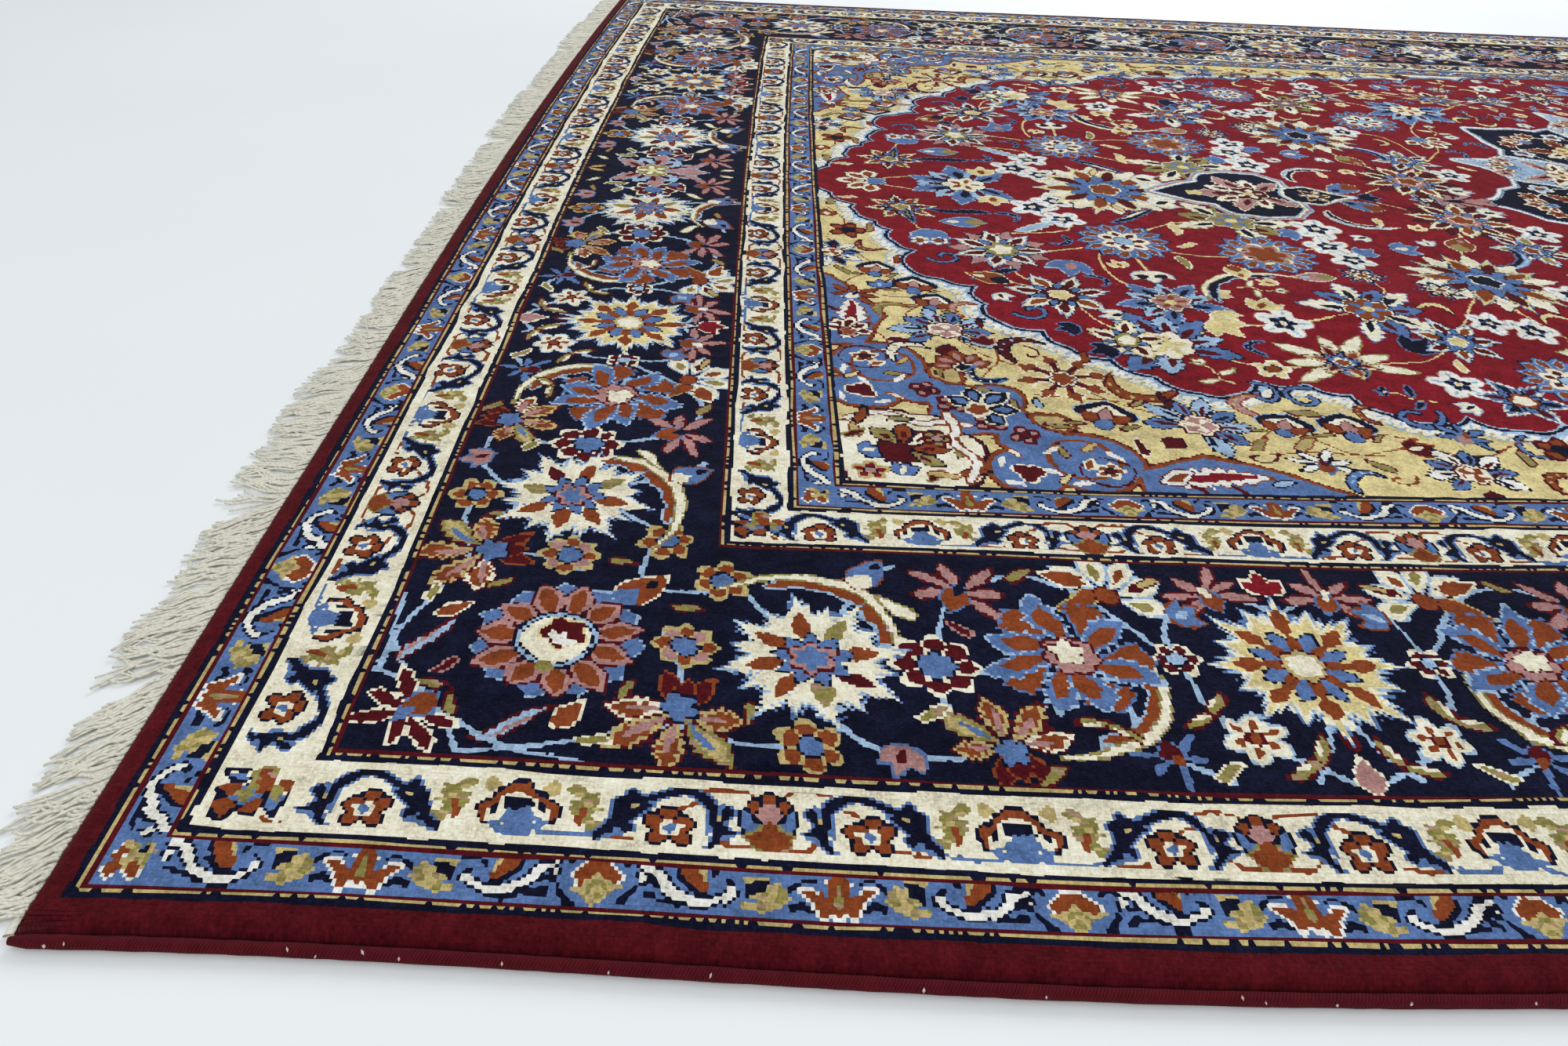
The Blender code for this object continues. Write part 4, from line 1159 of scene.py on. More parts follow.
# ---- leaves and buds in what ground is left bare
def fill_gaps(ground, zone, pitch, clear, makers, seed):
    rng = np.random.default_rng(seed)
    n = max(1, round(clear / KNOT))
    free = (chart == ground) & zone
    for j in np.arange(n, ROWS - n, max(1, round(pitch / KNOT))):
        for i in np.arange(n, COLS - n, max(1, round(pitch / KNOT))):
            di, dj = rng.integers(-3, 4, 2)
            turn, pick = rng.uniform(0, 360), rng.integers(len(makers))
            a, b = i + di, j + dj
            if free[max(0, b - n):b + n + 1, max(0, a - n):a + n + 1].mean() > 0.985:
                size, *what = makers[pick]
                draw(NEAR.at((a + 0.5) * KNOT, (b + 0.5) * KNOT, turn, size), *what)
                m = round(n * 1.3)
                free[max(0, b - m):b + m + 1, max(0, a - m):a + m + 1] = False


border_zone = (edge_distance > BAND_EDGES[2] + 0.02) & (edge_distance < BAND_EDGES[3] - 0.02)
field_zone = edge_distance > 1.03
fill_gaps(NAVY, border_zone, 0.028, 0.026, (
    (0.030, small_leaf, "om"), (0.030, small_leaf, "tr"),
    (0.028, small_leaf, "mp"), (0.026, small_leaf, "io")), 3)
fill_gaps(CRIMSON, field_zone, 0.05, 0.056, (
    (0.060, sprig, "gir"), (0.058, sprig, "bsi"),
    (0.058, sprig, "iok"), (0.056, sprig, "kbi")), 5)
fill_gaps(CRIMSON, field_zone, 0.04, 0.036, (
    (0.044, curl, "gmi"), (0.040, tulip, "gir"),
    (0.040, curl, "kbs"), (0.038, tulip, "isk"),
    (0.040, small_leaf, "gi")), 6)


def tendril(p, wool):
    vine(p, ((-1.0, -0.5), (-0.5, 0.35), (0.3, 0.45), (0.7, -0.1), (0.2, -0.35)), wool, 0.62, 4)


fill_gaps(GOLD, field_zone, 0.03, 0.030, (
    (0.034, small_leaf, "om"), (0.048, tendril, "r"),
    (0.030, tulip, "rm"), (0.048, tendril, "m")), 8)
fill_gaps(GOLD, field_zone, 0.024, 0.020, (
    (0.034, tendril, "r"), (0.034, tendril, "m"), (0.024, small_leaf, "rk"),
    (0.024, small_leaf, "sk")), 9)
lay_stripes()

# ---- materials
def colour_of(hexa):
    """Linear colour of a display one."""
    parts = [int(hexa[k:k + 2], 16) / 255 for k in (0, 2, 4)]
    return [c / 12.92 if c <= 0.04045 else ((c + 0.055) / 1.055) ** 2.4 for c in parts]


PITCH = (PILE_LENGTH / 2 / COLS, PILE_WIDTH / 2 / ROWS)


class Nodes:
    """A short way to build a node tree."""

    def __init__(self, name):
        self.material = bpy.data.materials.new(name)
        self.material.use_nodes = True
        self.tree = self.material.node_tree
        self.shader = self.tree.nodes["Principled BSDF"]

    def add(self, kind, operation=None, inputs=(), **settings):
        node = self.tree.nodes.new("ShaderNode" + kind)
        if operation:
            node.operation = operation
        for key, value in settings.items():
            setattr(node, key, value)
        for key, value in (inputs.items() if isinstance(inputs, dict) else enumerate(inputs)):
            if isinstance(value, bpy.types.NodeSocket):
                self.tree.links.new(value, node.inputs[key])
            elif value is not None:
                node.inputs[key].default_value = value
        return node

    def math(self, operation, *values, clamp=False):
        return self.add("Math", operation, values, use_clamp=clamp).outputs[0]

    def noise(self, where, scale, detail=2.0, rough=0.5, out=0):
        return self.add("TexNoise", None, {"Vector": where, "Scale": scale, "Detail": detail,
                                           "Roughness": rough}).outputs[out]

    def flat(self):
        """Where a point is on the flat rug, in metres."""
        return self.add("UVMap", uv_map="Weave").outputs[0]

    def times(self, where, factors):
        return self.add("VectorMath", "MULTIPLY", (where, factors)).outputs[0]

    def mix(self, share, one, other, blend="MIX"):
        inputs = {0: share, 6: one, 7: other}
        return self.add("Mix", None, inputs, data_type="RGBA", blend_type=blend).outputs[2]

    def ramp(self, factor, *stops):
        node = self.add("ValToRGB", None, (factor,))
        points = node.color_ramp.elements
        while len(points) < len(stops):
            points.new(0.5)
        for point, (position, colour) in zip(points, stops):
            point.position = position
            point.color = (*colour, 1.0)
        return node.outputs[0]

    def bump(self, height, strength, distance, under=None):
        inputs = {"Height": height, "Strength": strength, "Distance": distance}
        if under is not None:
            inputs["Normal"] = under
        return self.add("Bump", None, inputs).outputs[0]

    def finish(self, colour, normal, roughness, sheen=0.0, sheen_roughness=0.4, specular=0.3):
        link = self.tree.links.new
        link(colour, self.shader.inputs["Base Color"])
        link(normal, self.shader.inputs["Normal"])
        if isinstance(roughness, bpy.types.NodeSocket):
            link(roughness, self.shader.inputs["Roughness"])
        else:
            self.shader.inputs["Roughness"].default_value = roughness
        self.shader.inputs["Sheen Weight"].default_value = sheen
        self.shader.inputs["Sheen Roughness"].default_value = sheen_roughness
        self.shader.inputs["Specular IOR Level"].default_value = specular
        return self.material


def shade(colour, much):
    return [min(1.0, c * much) for c in colour]


def wool(name, hexa, low_tone=0.48, high_tone=1.58, streak=0.0, other="b98a8a"):
    """Cut pile: every knot a little off its neighbours, soft clouds, and painted shade at the edges of the
    tufts, where they meet.
    """
    n = Nodes(name)
    colour = colour_of(hexa)
    flat = n.flat()
    knots = n.add("VectorMath", "DIVIDE", (flat, (PITCH[0], PITCH[1], 1.0))).outputs[0]
    cell = n.add("VectorMath", "FLOOR", (knots,)).outputs[0]
    own = n.add("TexWhiteNoise", None, {"Vector": cell}, noise_dimensions="2D").outputs[0]
    place = n.add("VectorMath", "FRACTION", (knots,)).outputs[0]
    off = n.add("VectorMath", "DISTANCE", (place, (0.5, 0.5, 0.0))).outputs["Value"]
    clouds = n.noise(flat, 55.0, 3.0, 0.6)
    fine = n.noise(flat, 520.0, 3.0, 0.65)
    abrash = n.noise(n.times(flat, (1.0, 5.0, 1.0)), 2.2, 2.0)
    level = n.math("MULTIPLY", own, 0.22)
    level = n.math("MULTIPLY_ADD", clouds, 0.80, level)
    level = n.math("MULTIPLY_ADD", fine, 0.85, level)
    level = n.math("MULTIPLY_ADD", abrash, 0.36, level)
    # painted shade: each knot's colour darker towards its edge, where it meets the next tuft
    level = n.math("MULTIPLY_ADD", off, -0.14, level)
    level = n.math("SUBTRACT", level, 0.55, clamp=True)
    tone = n.ramp(level, (0.12, shade(colour, low_tone)), (0.48, colour), (0.85, shade(colour, high_tone)))
    if streak:
        grain = n.noise(n.times(flat, (60.0, 260.0, 1.0)), 1.0, 2.0)
        grain = n.math("MULTIPLY", n.math("SUBTRACT", grain, 0.52, clamp=True), 8.0 * streak, clamp=True)
        tone = n.mix(grain, tone, (*colour_of(other), 1.0))
    dome = n.math("MULTIPLY_ADD", off, -0.5, 1.0)
    tuft = n.math("MULTIPLY_ADD", fine, 2.2, dome)
    low = n.bump(clouds, 0.65, 0.004)
    normal = n.bump(tuft, 0.45, 0.0011, low)
    return n.finish(tone, normal, 0.96, 0.02, 0.45, 0.05)


WOOL_COLOURS = dict(
    crimson="78141f", maroon="4d0f16", navy="0e1024", blue="55709f", sky="98b1cb", ivory="e8dfc3",
    tan="b5a26c", rust="803e1f", olive="877f44", rose="a77c78", white="e7e4d8", gold="d4c28a")
# low and high tones of each wool's random unevenness; navy's high tone, 2.3 times its colour, also paints
# sheen on its lightest knots
WOOL_RANGES = dict(navy=(0.30, 2.3), crimson=(0.42, 1.75), maroon=(0.45, 1.7), olive=(0.48, 1.58, 0.5))
wools = [wool("wool_" + name, WOOL_COLOURS[name], *WOOL_RANGES.get(name, ())) for name in NAMES]


BACK_BANDS = ("maroon", "blue", "ivory", "navy", "ivory", "blue", "crimson")
BACK_REACH = 1.4         # border depths in which the bands' colours are listed


def back_material():
    """The woven back: rows of flat knots, the bands of the border showing through."""
    n = Nodes("woven_back")
    flat = n.flat()
    split = n.add("SeparateXYZ", None, (flat,))
    x, y = split.outputs[0], split.outputs[1]
    from_end = n.math("MINIMUM", x, n.math("SUBTRACT", PILE_LENGTH, x))
    from_side = n.math("MINIMUM", y, n.math("SUBTRACT", PILE_WIDTH, y))
    depth = n.math("DIVIDE", n.math("MINIMUM", from_end, from_side), BACK_REACH * DEPTH)
    stops = [(edge / BACK_REACH, shade(colour_of(WOOL_COLOURS[name]), 1.15))
             for edge, name in zip((0.0, *BAND_EDGES), BACK_BANDS)]
    bands = n.ramp(depth, *stops)
    bands.node.color_ramp.interpolation = "CONSTANT"
    knots = n.add("VectorMath", "DIVIDE", (flat, (PITCH[0], PITCH[1], 1.0))).outputs[0]
    cell = n.add("VectorMath", "FLOOR", (knots,)).outputs[0]
    own = n.add("TexWhiteNoise", None, {"Vector": cell}, noise_dimensions="2D").outputs[0]
    flowers = n.noise(flat, 26.0, 2.0, 0.5)
    spots = n.math("MULTIPLY", n.math("SUBTRACT", flowers, 0.56, clamp=True), 18.0, clamp=True)
    tint = n.ramp(n.noise(flat, 14.0, 1.0, 0.5, 0), (0.35, colour_of("4f74b4")),
                  (0.48, colour_of("a86a44")), (0.6, colour_of("ddd2b0")))
    tone = n.mix(n.math("MULTIPLY", spots, 0.8), bands, tint)
    weft = n.math("SINE", n.math("MULTIPLY", x, TAU / PITCH[0]))
    knot_tone = n.math("MULTIPLY_ADD", own, 0.35, n.math("MULTIPLY", weft, 0.10))
    dark = n.math("MULTIPLY_ADD", knot_tone, 1.0, 0.72)
    tone = n.mix(1.0, tone, dark, "MULTIPLY")
    normal = n.bump(n.math("MULTIPLY_ADD", own, 0.5, weft), 0.5, 0.0005)
    return n.finish(tone, normal, 0.9, 0.1, 0.5, 0.2)


def cord_material():
    """Overcast edge: wool wound round and round, so fine turns lie across the cord."""
    n = Nodes("overcast_wool")
    colour = colour_of("58171e")
    flat = n.flat()
    split = n.add("SeparateXYZ", None, (flat,))
    slant = n.math("MULTIPLY_ADD", split.outputs[1], 0.45, split.outputs[0])
    turns = n.math("SINE", n.math("MULTIPLY", slant, TAU / 0.0019))
    cloud = n.noise(flat, 60.0, 3.0, 0.6)
    fibre = n.noise(n.times(flat, (900.0, 160.0, 1.0)), 1.0, 2.0)
    unevenness = n.math("MULTIPLY_ADD", cloud, 0.5, n.math("MULTIPLY", fibre, 0.4))
    level = n.math("MULTIPLY_ADD", turns, 0.16, unevenness)
    tone = n.ramp(level, (0.15, shade(colour, 0.45)), (0.5, colour), (0.85, shade(colour, 1.5)))
    normal = n.bump(n.math("MULTIPLY_ADD", fibre, 0.6, turns), 0.6, 0.0005)
    return n.finish(tone, normal, 0.94, 0.02, 0.45, 0.05)


def cotton(name, hexa, dirt):
    """Undyed cotton yarn of two plies."""
    n = Nodes(name)
    colour = colour_of(hexa)
    flat = n.flat()
    split = n.add("SeparateXYZ", None, (flat,))
    around = n.math("MULTIPLY", split.outputs[1], TAU * 2)
    twist = n.math("SINE", n.math("MULTIPLY_ADD", split.outputs[0], TAU / 0.0042, around))
    fibre = n.noise(n.times(flat, (700.0, 6.0, 1.0)), 1.0, 3.0, 0.65)
    soil = n.noise(n.add("TexCoord").outputs["Object"], 26.0, 3.0, 0.6)
    unevenness = n.math("MULTIPLY_ADD", fibre, 0.35, n.math("MULTIPLY", soil, dirt))
    level = n.math("MULTIPLY_ADD", twist, 0.05, unevenness)
    tone = n.ramp(level, (0.10, shade(colour, 0.62)), (0.45, colour), (0.85, shade(colour, 1.2)))
    normal = n.bump(n.math("MULTIPLY_ADD", twist, 0.25, fibre), 0.5, 0.0003)
    return n.finish(tone, normal, 0.95, 0.05, 0.5, 0.1)


# ---- meshes
def make(name, points, faces, materials, uvs, index=None, baked=None):
    """A mesh from arrays of points and of faces with one corner count."""
    mesh = bpy.data.meshes.new(name)
    faces = np.asarray(faces)
    corners = faces.shape[1]
    mesh.vertices.add(len(points))
    mesh.vertices.foreach_set("co", np.asarray(points, np.float32).ravel())
    mesh.loops.add(faces.size)
    mesh.loops.foreach_set("vertex_index", faces.astype(np.int32).ravel())
    mesh.polygons.add(len(faces))
    mesh.polygons.foreach_set("loop_start", np.arange(len(faces), dtype=np.int32) * corners)
    for material in materials:
        mesh.materials.append(material)
    if index is not None:
        mesh.polygons.foreach_set("material_index", np.asarray(index, np.int32))
    mesh.polygons.foreach_set("use_smooth", np.full(len(faces), True))
    for map_name, values in (("Weave", uvs), ("OFBake", baked)):
        if values is not None:
            layer = mesh.uv_layers.new(name=map_name)
            layer.data.foreach_set("uv", np.asarray(values, np.float32).ravel())
    mesh.update(calc_edges=True)
    mesh.validate()
    piece = bpy.data.objects.new(name, mesh)
    bpy.context.scene.collection.objects.link(piece)
    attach(piece, "root")
    return piece


# ---- the pile: four bands of rows on each side of the middle, each in one piece from end to end
RIM = (0.0036, 0.0078, 0.0097, 0.0107, THICKNESS)       # height of the pile at each knot in from its edge
STRIPS = 4
FOLDS = 2                # a strip's map is folded this often on each side of the middle
row_cuts = np.round(np.linspace(0, ROWS, STRIPS + 1)).astype(int)
col_cuts = np.round(np.linspace(0, COLS, FOLDS + 1)).astype(int)
LONGEST = 12
FLOOR_GAP = 0.0004


def largest(free):
    """Width and height of the biggest rectangle of free knots that starts at the corner."""
    reach = np.where(free.all(1), free.shape[1], np.argmin(free, axis=1))
    reach = np.minimum.accumulate(reach)
    best = int(np.argmax(reach * np.arange(1, len(reach) + 1)))
    return int(reach[best]), best + 1


def covered(part):
    """Covers the chart with rectangles of one label each, row after row."""
    rows, cols = part.shape
    left = np.ones(part.shape, bool)
    made = []
    for j in range(rows):
        i = 0
        while i < cols:
            if not left[j, i]:
                i += 1
                continue
            free = left[j:j + LONGEST, i:i + LONGEST] & (part[j:j + LONGEST, i:i + LONGEST] == part[j, i])
            w, h = largest(free)
            left[j:j + h, i:i + w] = False
            made.append((i, j, i + w, j + h))
            i += w
    return np.array(made)


def patches(part):
    """Numbers the patches of one label each."""
    rows, cols = part.shape
    flat = part.ravel().tolist()
    patch = [-1] * len(flat)
    count = 0
    for seed in range(len(flat)):
        if patch[seed] >= 0:
            continue
        patch[seed] = count
        stack = [seed]
        while stack:
            here = stack.pop()
            col = here % cols
            for there, fits in ((here - 1, col > 0), (here + 1, col < cols - 1), (here - cols, True),
                                (here + cols, True)):
                if fits and 0 <= there < len(flat) and patch[there] < 0 and flat[there] == flat[here]:
                    patch[there] = count
                    stack.append(there)
        count += 1
    return np.array(patch).reshape(part.shape), count


def rectangles(part):
    """The chart covered from each of its corners, each patch by the covering with the fewest pieces."""
    rows, cols = part.shape
    patch, count = patches(part)
    coverings, fewest = [], []
    for turned, back in ((False, False), (True, False), (False, True), (True, True)):
        seen = part[::-1, ::-1] if back else part
        made = covered(seen.T if turned else seen)
        if turned:
            made = made[:, (1, 0, 3, 2)]
        if back:
            made = np.array((cols, rows, cols, rows)) - made[:, (2, 3, 0, 1)]
        coverings.append(made)
        fewest.append(np.bincount(patch[made[:, 1], made[:, 0]], minlength=count))
    best = np.argmin(fewest, axis=0)
    return np.vstack([made[best[patch[made[:, 1], made[:, 0]]] == k] for k, made in enumerate(coverings)])


ring = np.minimum(np.minimum(np.arange(COLS)[None, :], np.arange(ROWS)[:, None]), len(RIM) - 1)
strip_of = np.searchsorted(row_cuts, np.arange(ROWS), "right") - 1
fold_of = np.searchsorted(col_cuts, np.arange(COLS), "right") - 1
labels = chart.astype(int) + 16 * (ring + 8 * (strip_of[:, None] + STRIPS * fold_of[None, :]))
tiles = rectangles(labels)
tile_wool = chart[tiles[:, 1], tiles[:, 0]]
tile_strip = strip_of[tiles[:, 1]]
tile_fold = fold_of[tiles[:, 0]]
rim_heights = np.array(RIM)

TIP_WAVES = 6            # in the tips' soft unevenness
TIP_TURN = 2.4           # from one wave to the next, in radians
TIP_SHORTEST = 0.05
TIP_LONGER = 0.018       # each wave than the one before
TIP_HEIGHT = 0.00008
tip_phases = np.random.default_rng(4).uniform(0, TAU, (2, TIP_WAVES))[0]

# ---- tufts lean over their neighbours: the tiles' corners move, so that slanted edges don't run in steps
LEAN = 0.42              # of a knot, where an edge turns
THIN_LEAN = 0.10         # the same where the wool there is one knot wide
STRAY = 0.07
SWAY = 1.1               # how far whole lines of knots wander
STILL_KNOTS = 14         # the sway grows over these from the rug's edge and from its middle lines


def run_lengths(part):
    """For each knot, whether a neighbour along its row has the same wool."""
    same = part[:, 1:] == part[:, :-1]
    wide = np.zeros(part.shape, bool)
    wide[:, 1:] |= same
    wide[:, :-1] |= same
    return wide


def lean_of_corners():
    """How far each corner of the knot grid moves, in knots, along the rug and across it."""
    wide, tall = run_lengths(chart), run_lengths(chart.T).T
    move = np.zeros((2, ROWS + 1, COLS + 1))
    a, b, c, d = chart[:-1, :-1], chart[:-1, 1:], chart[1:, :-1], chart[1:, 1:]
    rows, cols = ROWS - 1, COLS - 1
    for own, others, dj, di in ((a, (b, c, d), 0, 0), (b, (a, c, d), 0, 1), (c, (a, b, d), 1, 0),
                                (d, (a, b, c), 1, 1)):
        lone = (others[0] == others[1]) & (others[1] == others[2]) & (own != others[0])
        own_wide = wide[dj:dj + rows, di:di + cols]
        own_tall = tall[dj:dj + rows, di:di + cols]
        move[0, 1:-1, 1:-1] += lone * np.where(own_wide, LEAN, THIN_LEAN) * (1 if di else -1)
        move[1, 1:-1, 1:-1] += lone * np.where(own_tall, LEAN, THIN_LEAN) * (1 if dj else -1)
    move += np.random.default_rng(9).uniform(-STRAY, STRAY, move.shape)
    from_row_ends = np.minimum(np.arange(ROWS + 1), ROWS - np.arange(ROWS + 1))[:, None]
    from_column_ends = np.minimum(np.arange(COLS + 1), COLS - np.arange(COLS + 1))[None, :]
    calm = np.clip(np.minimum(from_row_ends, from_column_ends) / STILL_KNOTS, 0, 1)
    for k, seeds in enumerate(((41, 42), (43, 44))):
        wander = 0.55 * smooth_noise(seeds[0], 11) + 0.45 * smooth_noise(seeds[1], 26)
        move[k] += SWAY * calm * np.pad(wander, ((0, 1), (0, 1)), "edge")
    move[0, :, (0, -1)] = 0
    move[1, (0, -1), :] = 0
    # a corner that lies along other tiles' sides stays on their straight line
    in_row = np.zeros(move[0].shape, bool)
    in_column = np.zeros(move[0].shape, bool)
    for i0, j0, i1, j1 in tiles:
        in_row[(j0, j1), i0 + 1:i1] = True
        in_column[j0 + 1:j1, (i0, i1)] = True
    for _ in range(3):
        move[0] = straighten(move[0].T, in_column.T, move[1].T).T
        move[1] = straighten(move[1], in_row, move[0])
    return move


def straighten(values, between, shift):
    """Along each row, the values marked run evenly from the last unmarked one to the next."""
    columns = np.broadcast_to(np.arange(values.shape[1]), values.shape)
    start = np.maximum.accumulate(np.where(between, 0, columns), axis=1)
    end = np.minimum.accumulate(np.where(between, values.shape[1] - 1, columns)[:, ::-1], axis=1)[:, ::-1]
    place = columns + shift
    first_place = np.take_along_axis(place, start, 1)
    last_place = np.take_along_axis(place, end, 1)
    share = np.where(between, (place - first_place) / np.maximum(last_place - first_place, 0.01), 0)
    return np.take_along_axis(values, start, 1) * (1 - share) + np.take_along_axis(values, end, 1) * share


lean_u, lean_v = lean_of_corners()


def pile_height(along, across):
    """Soft unevenness of the pile's tips."""
    total = 0.0
    for k in range(TIP_WAVES):
        way = k * TIP_TURN
        wave = TAU / (TIP_SHORTEST + TIP_LONGER * k)
        total = total + np.sin((along * math.cos(way) + across * math.sin(way)) * wave + tip_phases[k])
    return total * TIP_HEIGHT


def pile_strip(name, strip, top):
    """One band of rows from end to end of the rug, in its near half or, with top, in the far one."""
    chosen = tile_strip == strip
    i0, j0, i1, j1 = tiles[chosen].T
    fold = tile_fold[chosen][:, None]
    low, high = row_cuts[strip], row_cuts[strip + 1]
    left_cut, right_cut = col_cuts[fold], col_cuts[fold + 1]
    column = np.stack((i0, i1, i1, i0), 1)
    row = np.stack((j0, j0, j1, j1), 1)
    height = rim_heights[np.minimum(np.minimum(column, row), len(RIM) - 1)]
    bake_u = 0.01 + 0.98 * (column - left_cut) / (right_cut - left_cut)
    bake_row = (row - low) / (high - low)
    fold = np.repeat(fold, 4, 1)
    wool_of = tile_wool[chosen]
    # the pile's edge goes on down to the floor: first its two corners at the bottom, then those above
    edges = [(i0 == 0, (3, 0, 0, 3))] + ([(j0 == 0, (0, 1, 1, 0))] if strip == 0 else [])
    parts = [(column, row, height, bake_u, bake_row, fold, wool_of)]
    for rim, corners in edges:
        part = [a[rim][:, corners] for a in (column, row, height, bake_u, bake_row, fold)]
        part[2][:, :2] = FLOOR_GAP
        parts.append((*part, np.full(rim.sum(), MAROON)))
    column, row, height, bake_u, bake_row, fold, wool_of = (np.concatenate(a) for a in zip(*parts))
    points, flats, bakes = [], [], []
    for right in (False, True):
        along = (column + lean_u[row, column]) * PITCH[0]
        across = (row + lean_v[row, column]) * PITCH[1]
        along = PILE_LENGTH - along if right else along
        across = PILE_WIDTH - across if top else across
        place = lay(along, across, height)
        place[..., 2] += np.where(height > RIM[1], pile_height(along, across), 0)
        shelf = 2 * FOLDS - 1 - fold if right else fold
        bake = np.stack((bake_u, (shelf + 0.02 + 0.96 * bake_row) / (2 * FOLDS)), -1)
        way = -1 if right != top else 1          # a single mirror turns the corners round
        points.append(place[:, ::way])
        flats.append(np.stack((along, across), -1)[:, ::way])
        bakes.append(bake[:, ::way])
    points, flats, bakes = (np.concatenate(a).reshape(-1, a[0].shape[-1]) for a in (points, flats, bakes))
    keys = np.round(points * 1e5).astype(np.int64) @ np.array((4_000_000_000, 8000, 1))
    _, first, inverse = np.unique(keys, return_index=True, return_inverse=True)
    piece = make(name, points[first], inverse.reshape(-1, 4), wools, flats, np.tile(wool_of, 2), bakes)
    return piece


for top in (False, True):
    for strip in range(STRIPS):
        pile_strip("pile_%s_%d" % ("far" if top else "near", strip), strip, top)

# ---- the woven ground under the pile
INSET = 0.0006
UNDER_TIPS = 0.0012      # the ground's top below the pile's
edge_steps = np.array((0.0, 0.0024, 0.0048, 0.0096))


def spread(length, pieces):
    inner = np.linspace(0.03, length - 0.03, pieces)
    return np.concatenate((edge_steps, inner, (length - edge_steps)[::-1]))


us, vs = np.meshgrid(spread(PILE_LENGTH, 88), spread(PILE_WIDTH, 54))
rows_v, cols_u = us.shape
from_edge = np.minimum(np.minimum(us, PILE_LENGTH - us), np.minimum(vs, PILE_WIDTH - vs))
top_height = np.interp(from_edge, np.arange(len(RIM)) * PITCH[0], RIM) - UNDER_TIPS
u_in = np.clip(us, INSET, PILE_LENGTH - INSET)
v_in = np.clip(vs, INSET, PILE_WIDTH - INSET)
upper = lay(u_in, v_in, top_height).reshape(-1, 3)
lower = lay(u_in, v_in, 0.0).reshape(-1, 3)
order = np.arange(rows_v * cols_u).reshape(rows_v, cols_u)
quads = np.stack((order[:-1, :-1], order[:-1, 1:], order[1:, 1:], order[1:, :-1]), -1).reshape(-1, 4)
around = np.concatenate((order[0, :-1], order[:-1, -1], order[-1, :0:-1], order[:0:-1, 0]))
below = len(upper)
walls = np.stack((around, around + below, np.roll(around, -1) + below, np.roll(around, -1)), -1)
faces = np.vstack((quads, quads[:, ::-1] + below, walls))
flat_uv = np.stack((u_in, v_in), -1).reshape(-1, 2)
flat_uv = np.vstack((flat_uv, flat_uv))[faces]
bake_uv = flat_uv / (PILE_LENGTH, PILE_WIDTH) * (0.98, 0.48) + (0.01, 0.01)
bake_uv[len(quads):2 * len(quads), :, 1] += 0.5
ground = make("woven_ground", np.vstack((upper, lower)), faces, [back_material()], flat_uv, None,
              bake_uv)
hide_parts("pile_rug")

# ---- the overcast cords along the long sides
CORD = 0.008
CORD_RINGS = 440
CORD_SIDES = 8           # an even number, for the caps
CAP_DOME = 0.0008
FLECK_LIFT = 0.0006      # of a light warp end over the cord
FLECK_SUNK = 0.0003
FLECK_STEPS = (0.015, 0.03, 0.05, 0.09)
BARE_ENDS = 0.02         # of the cord, without flecks


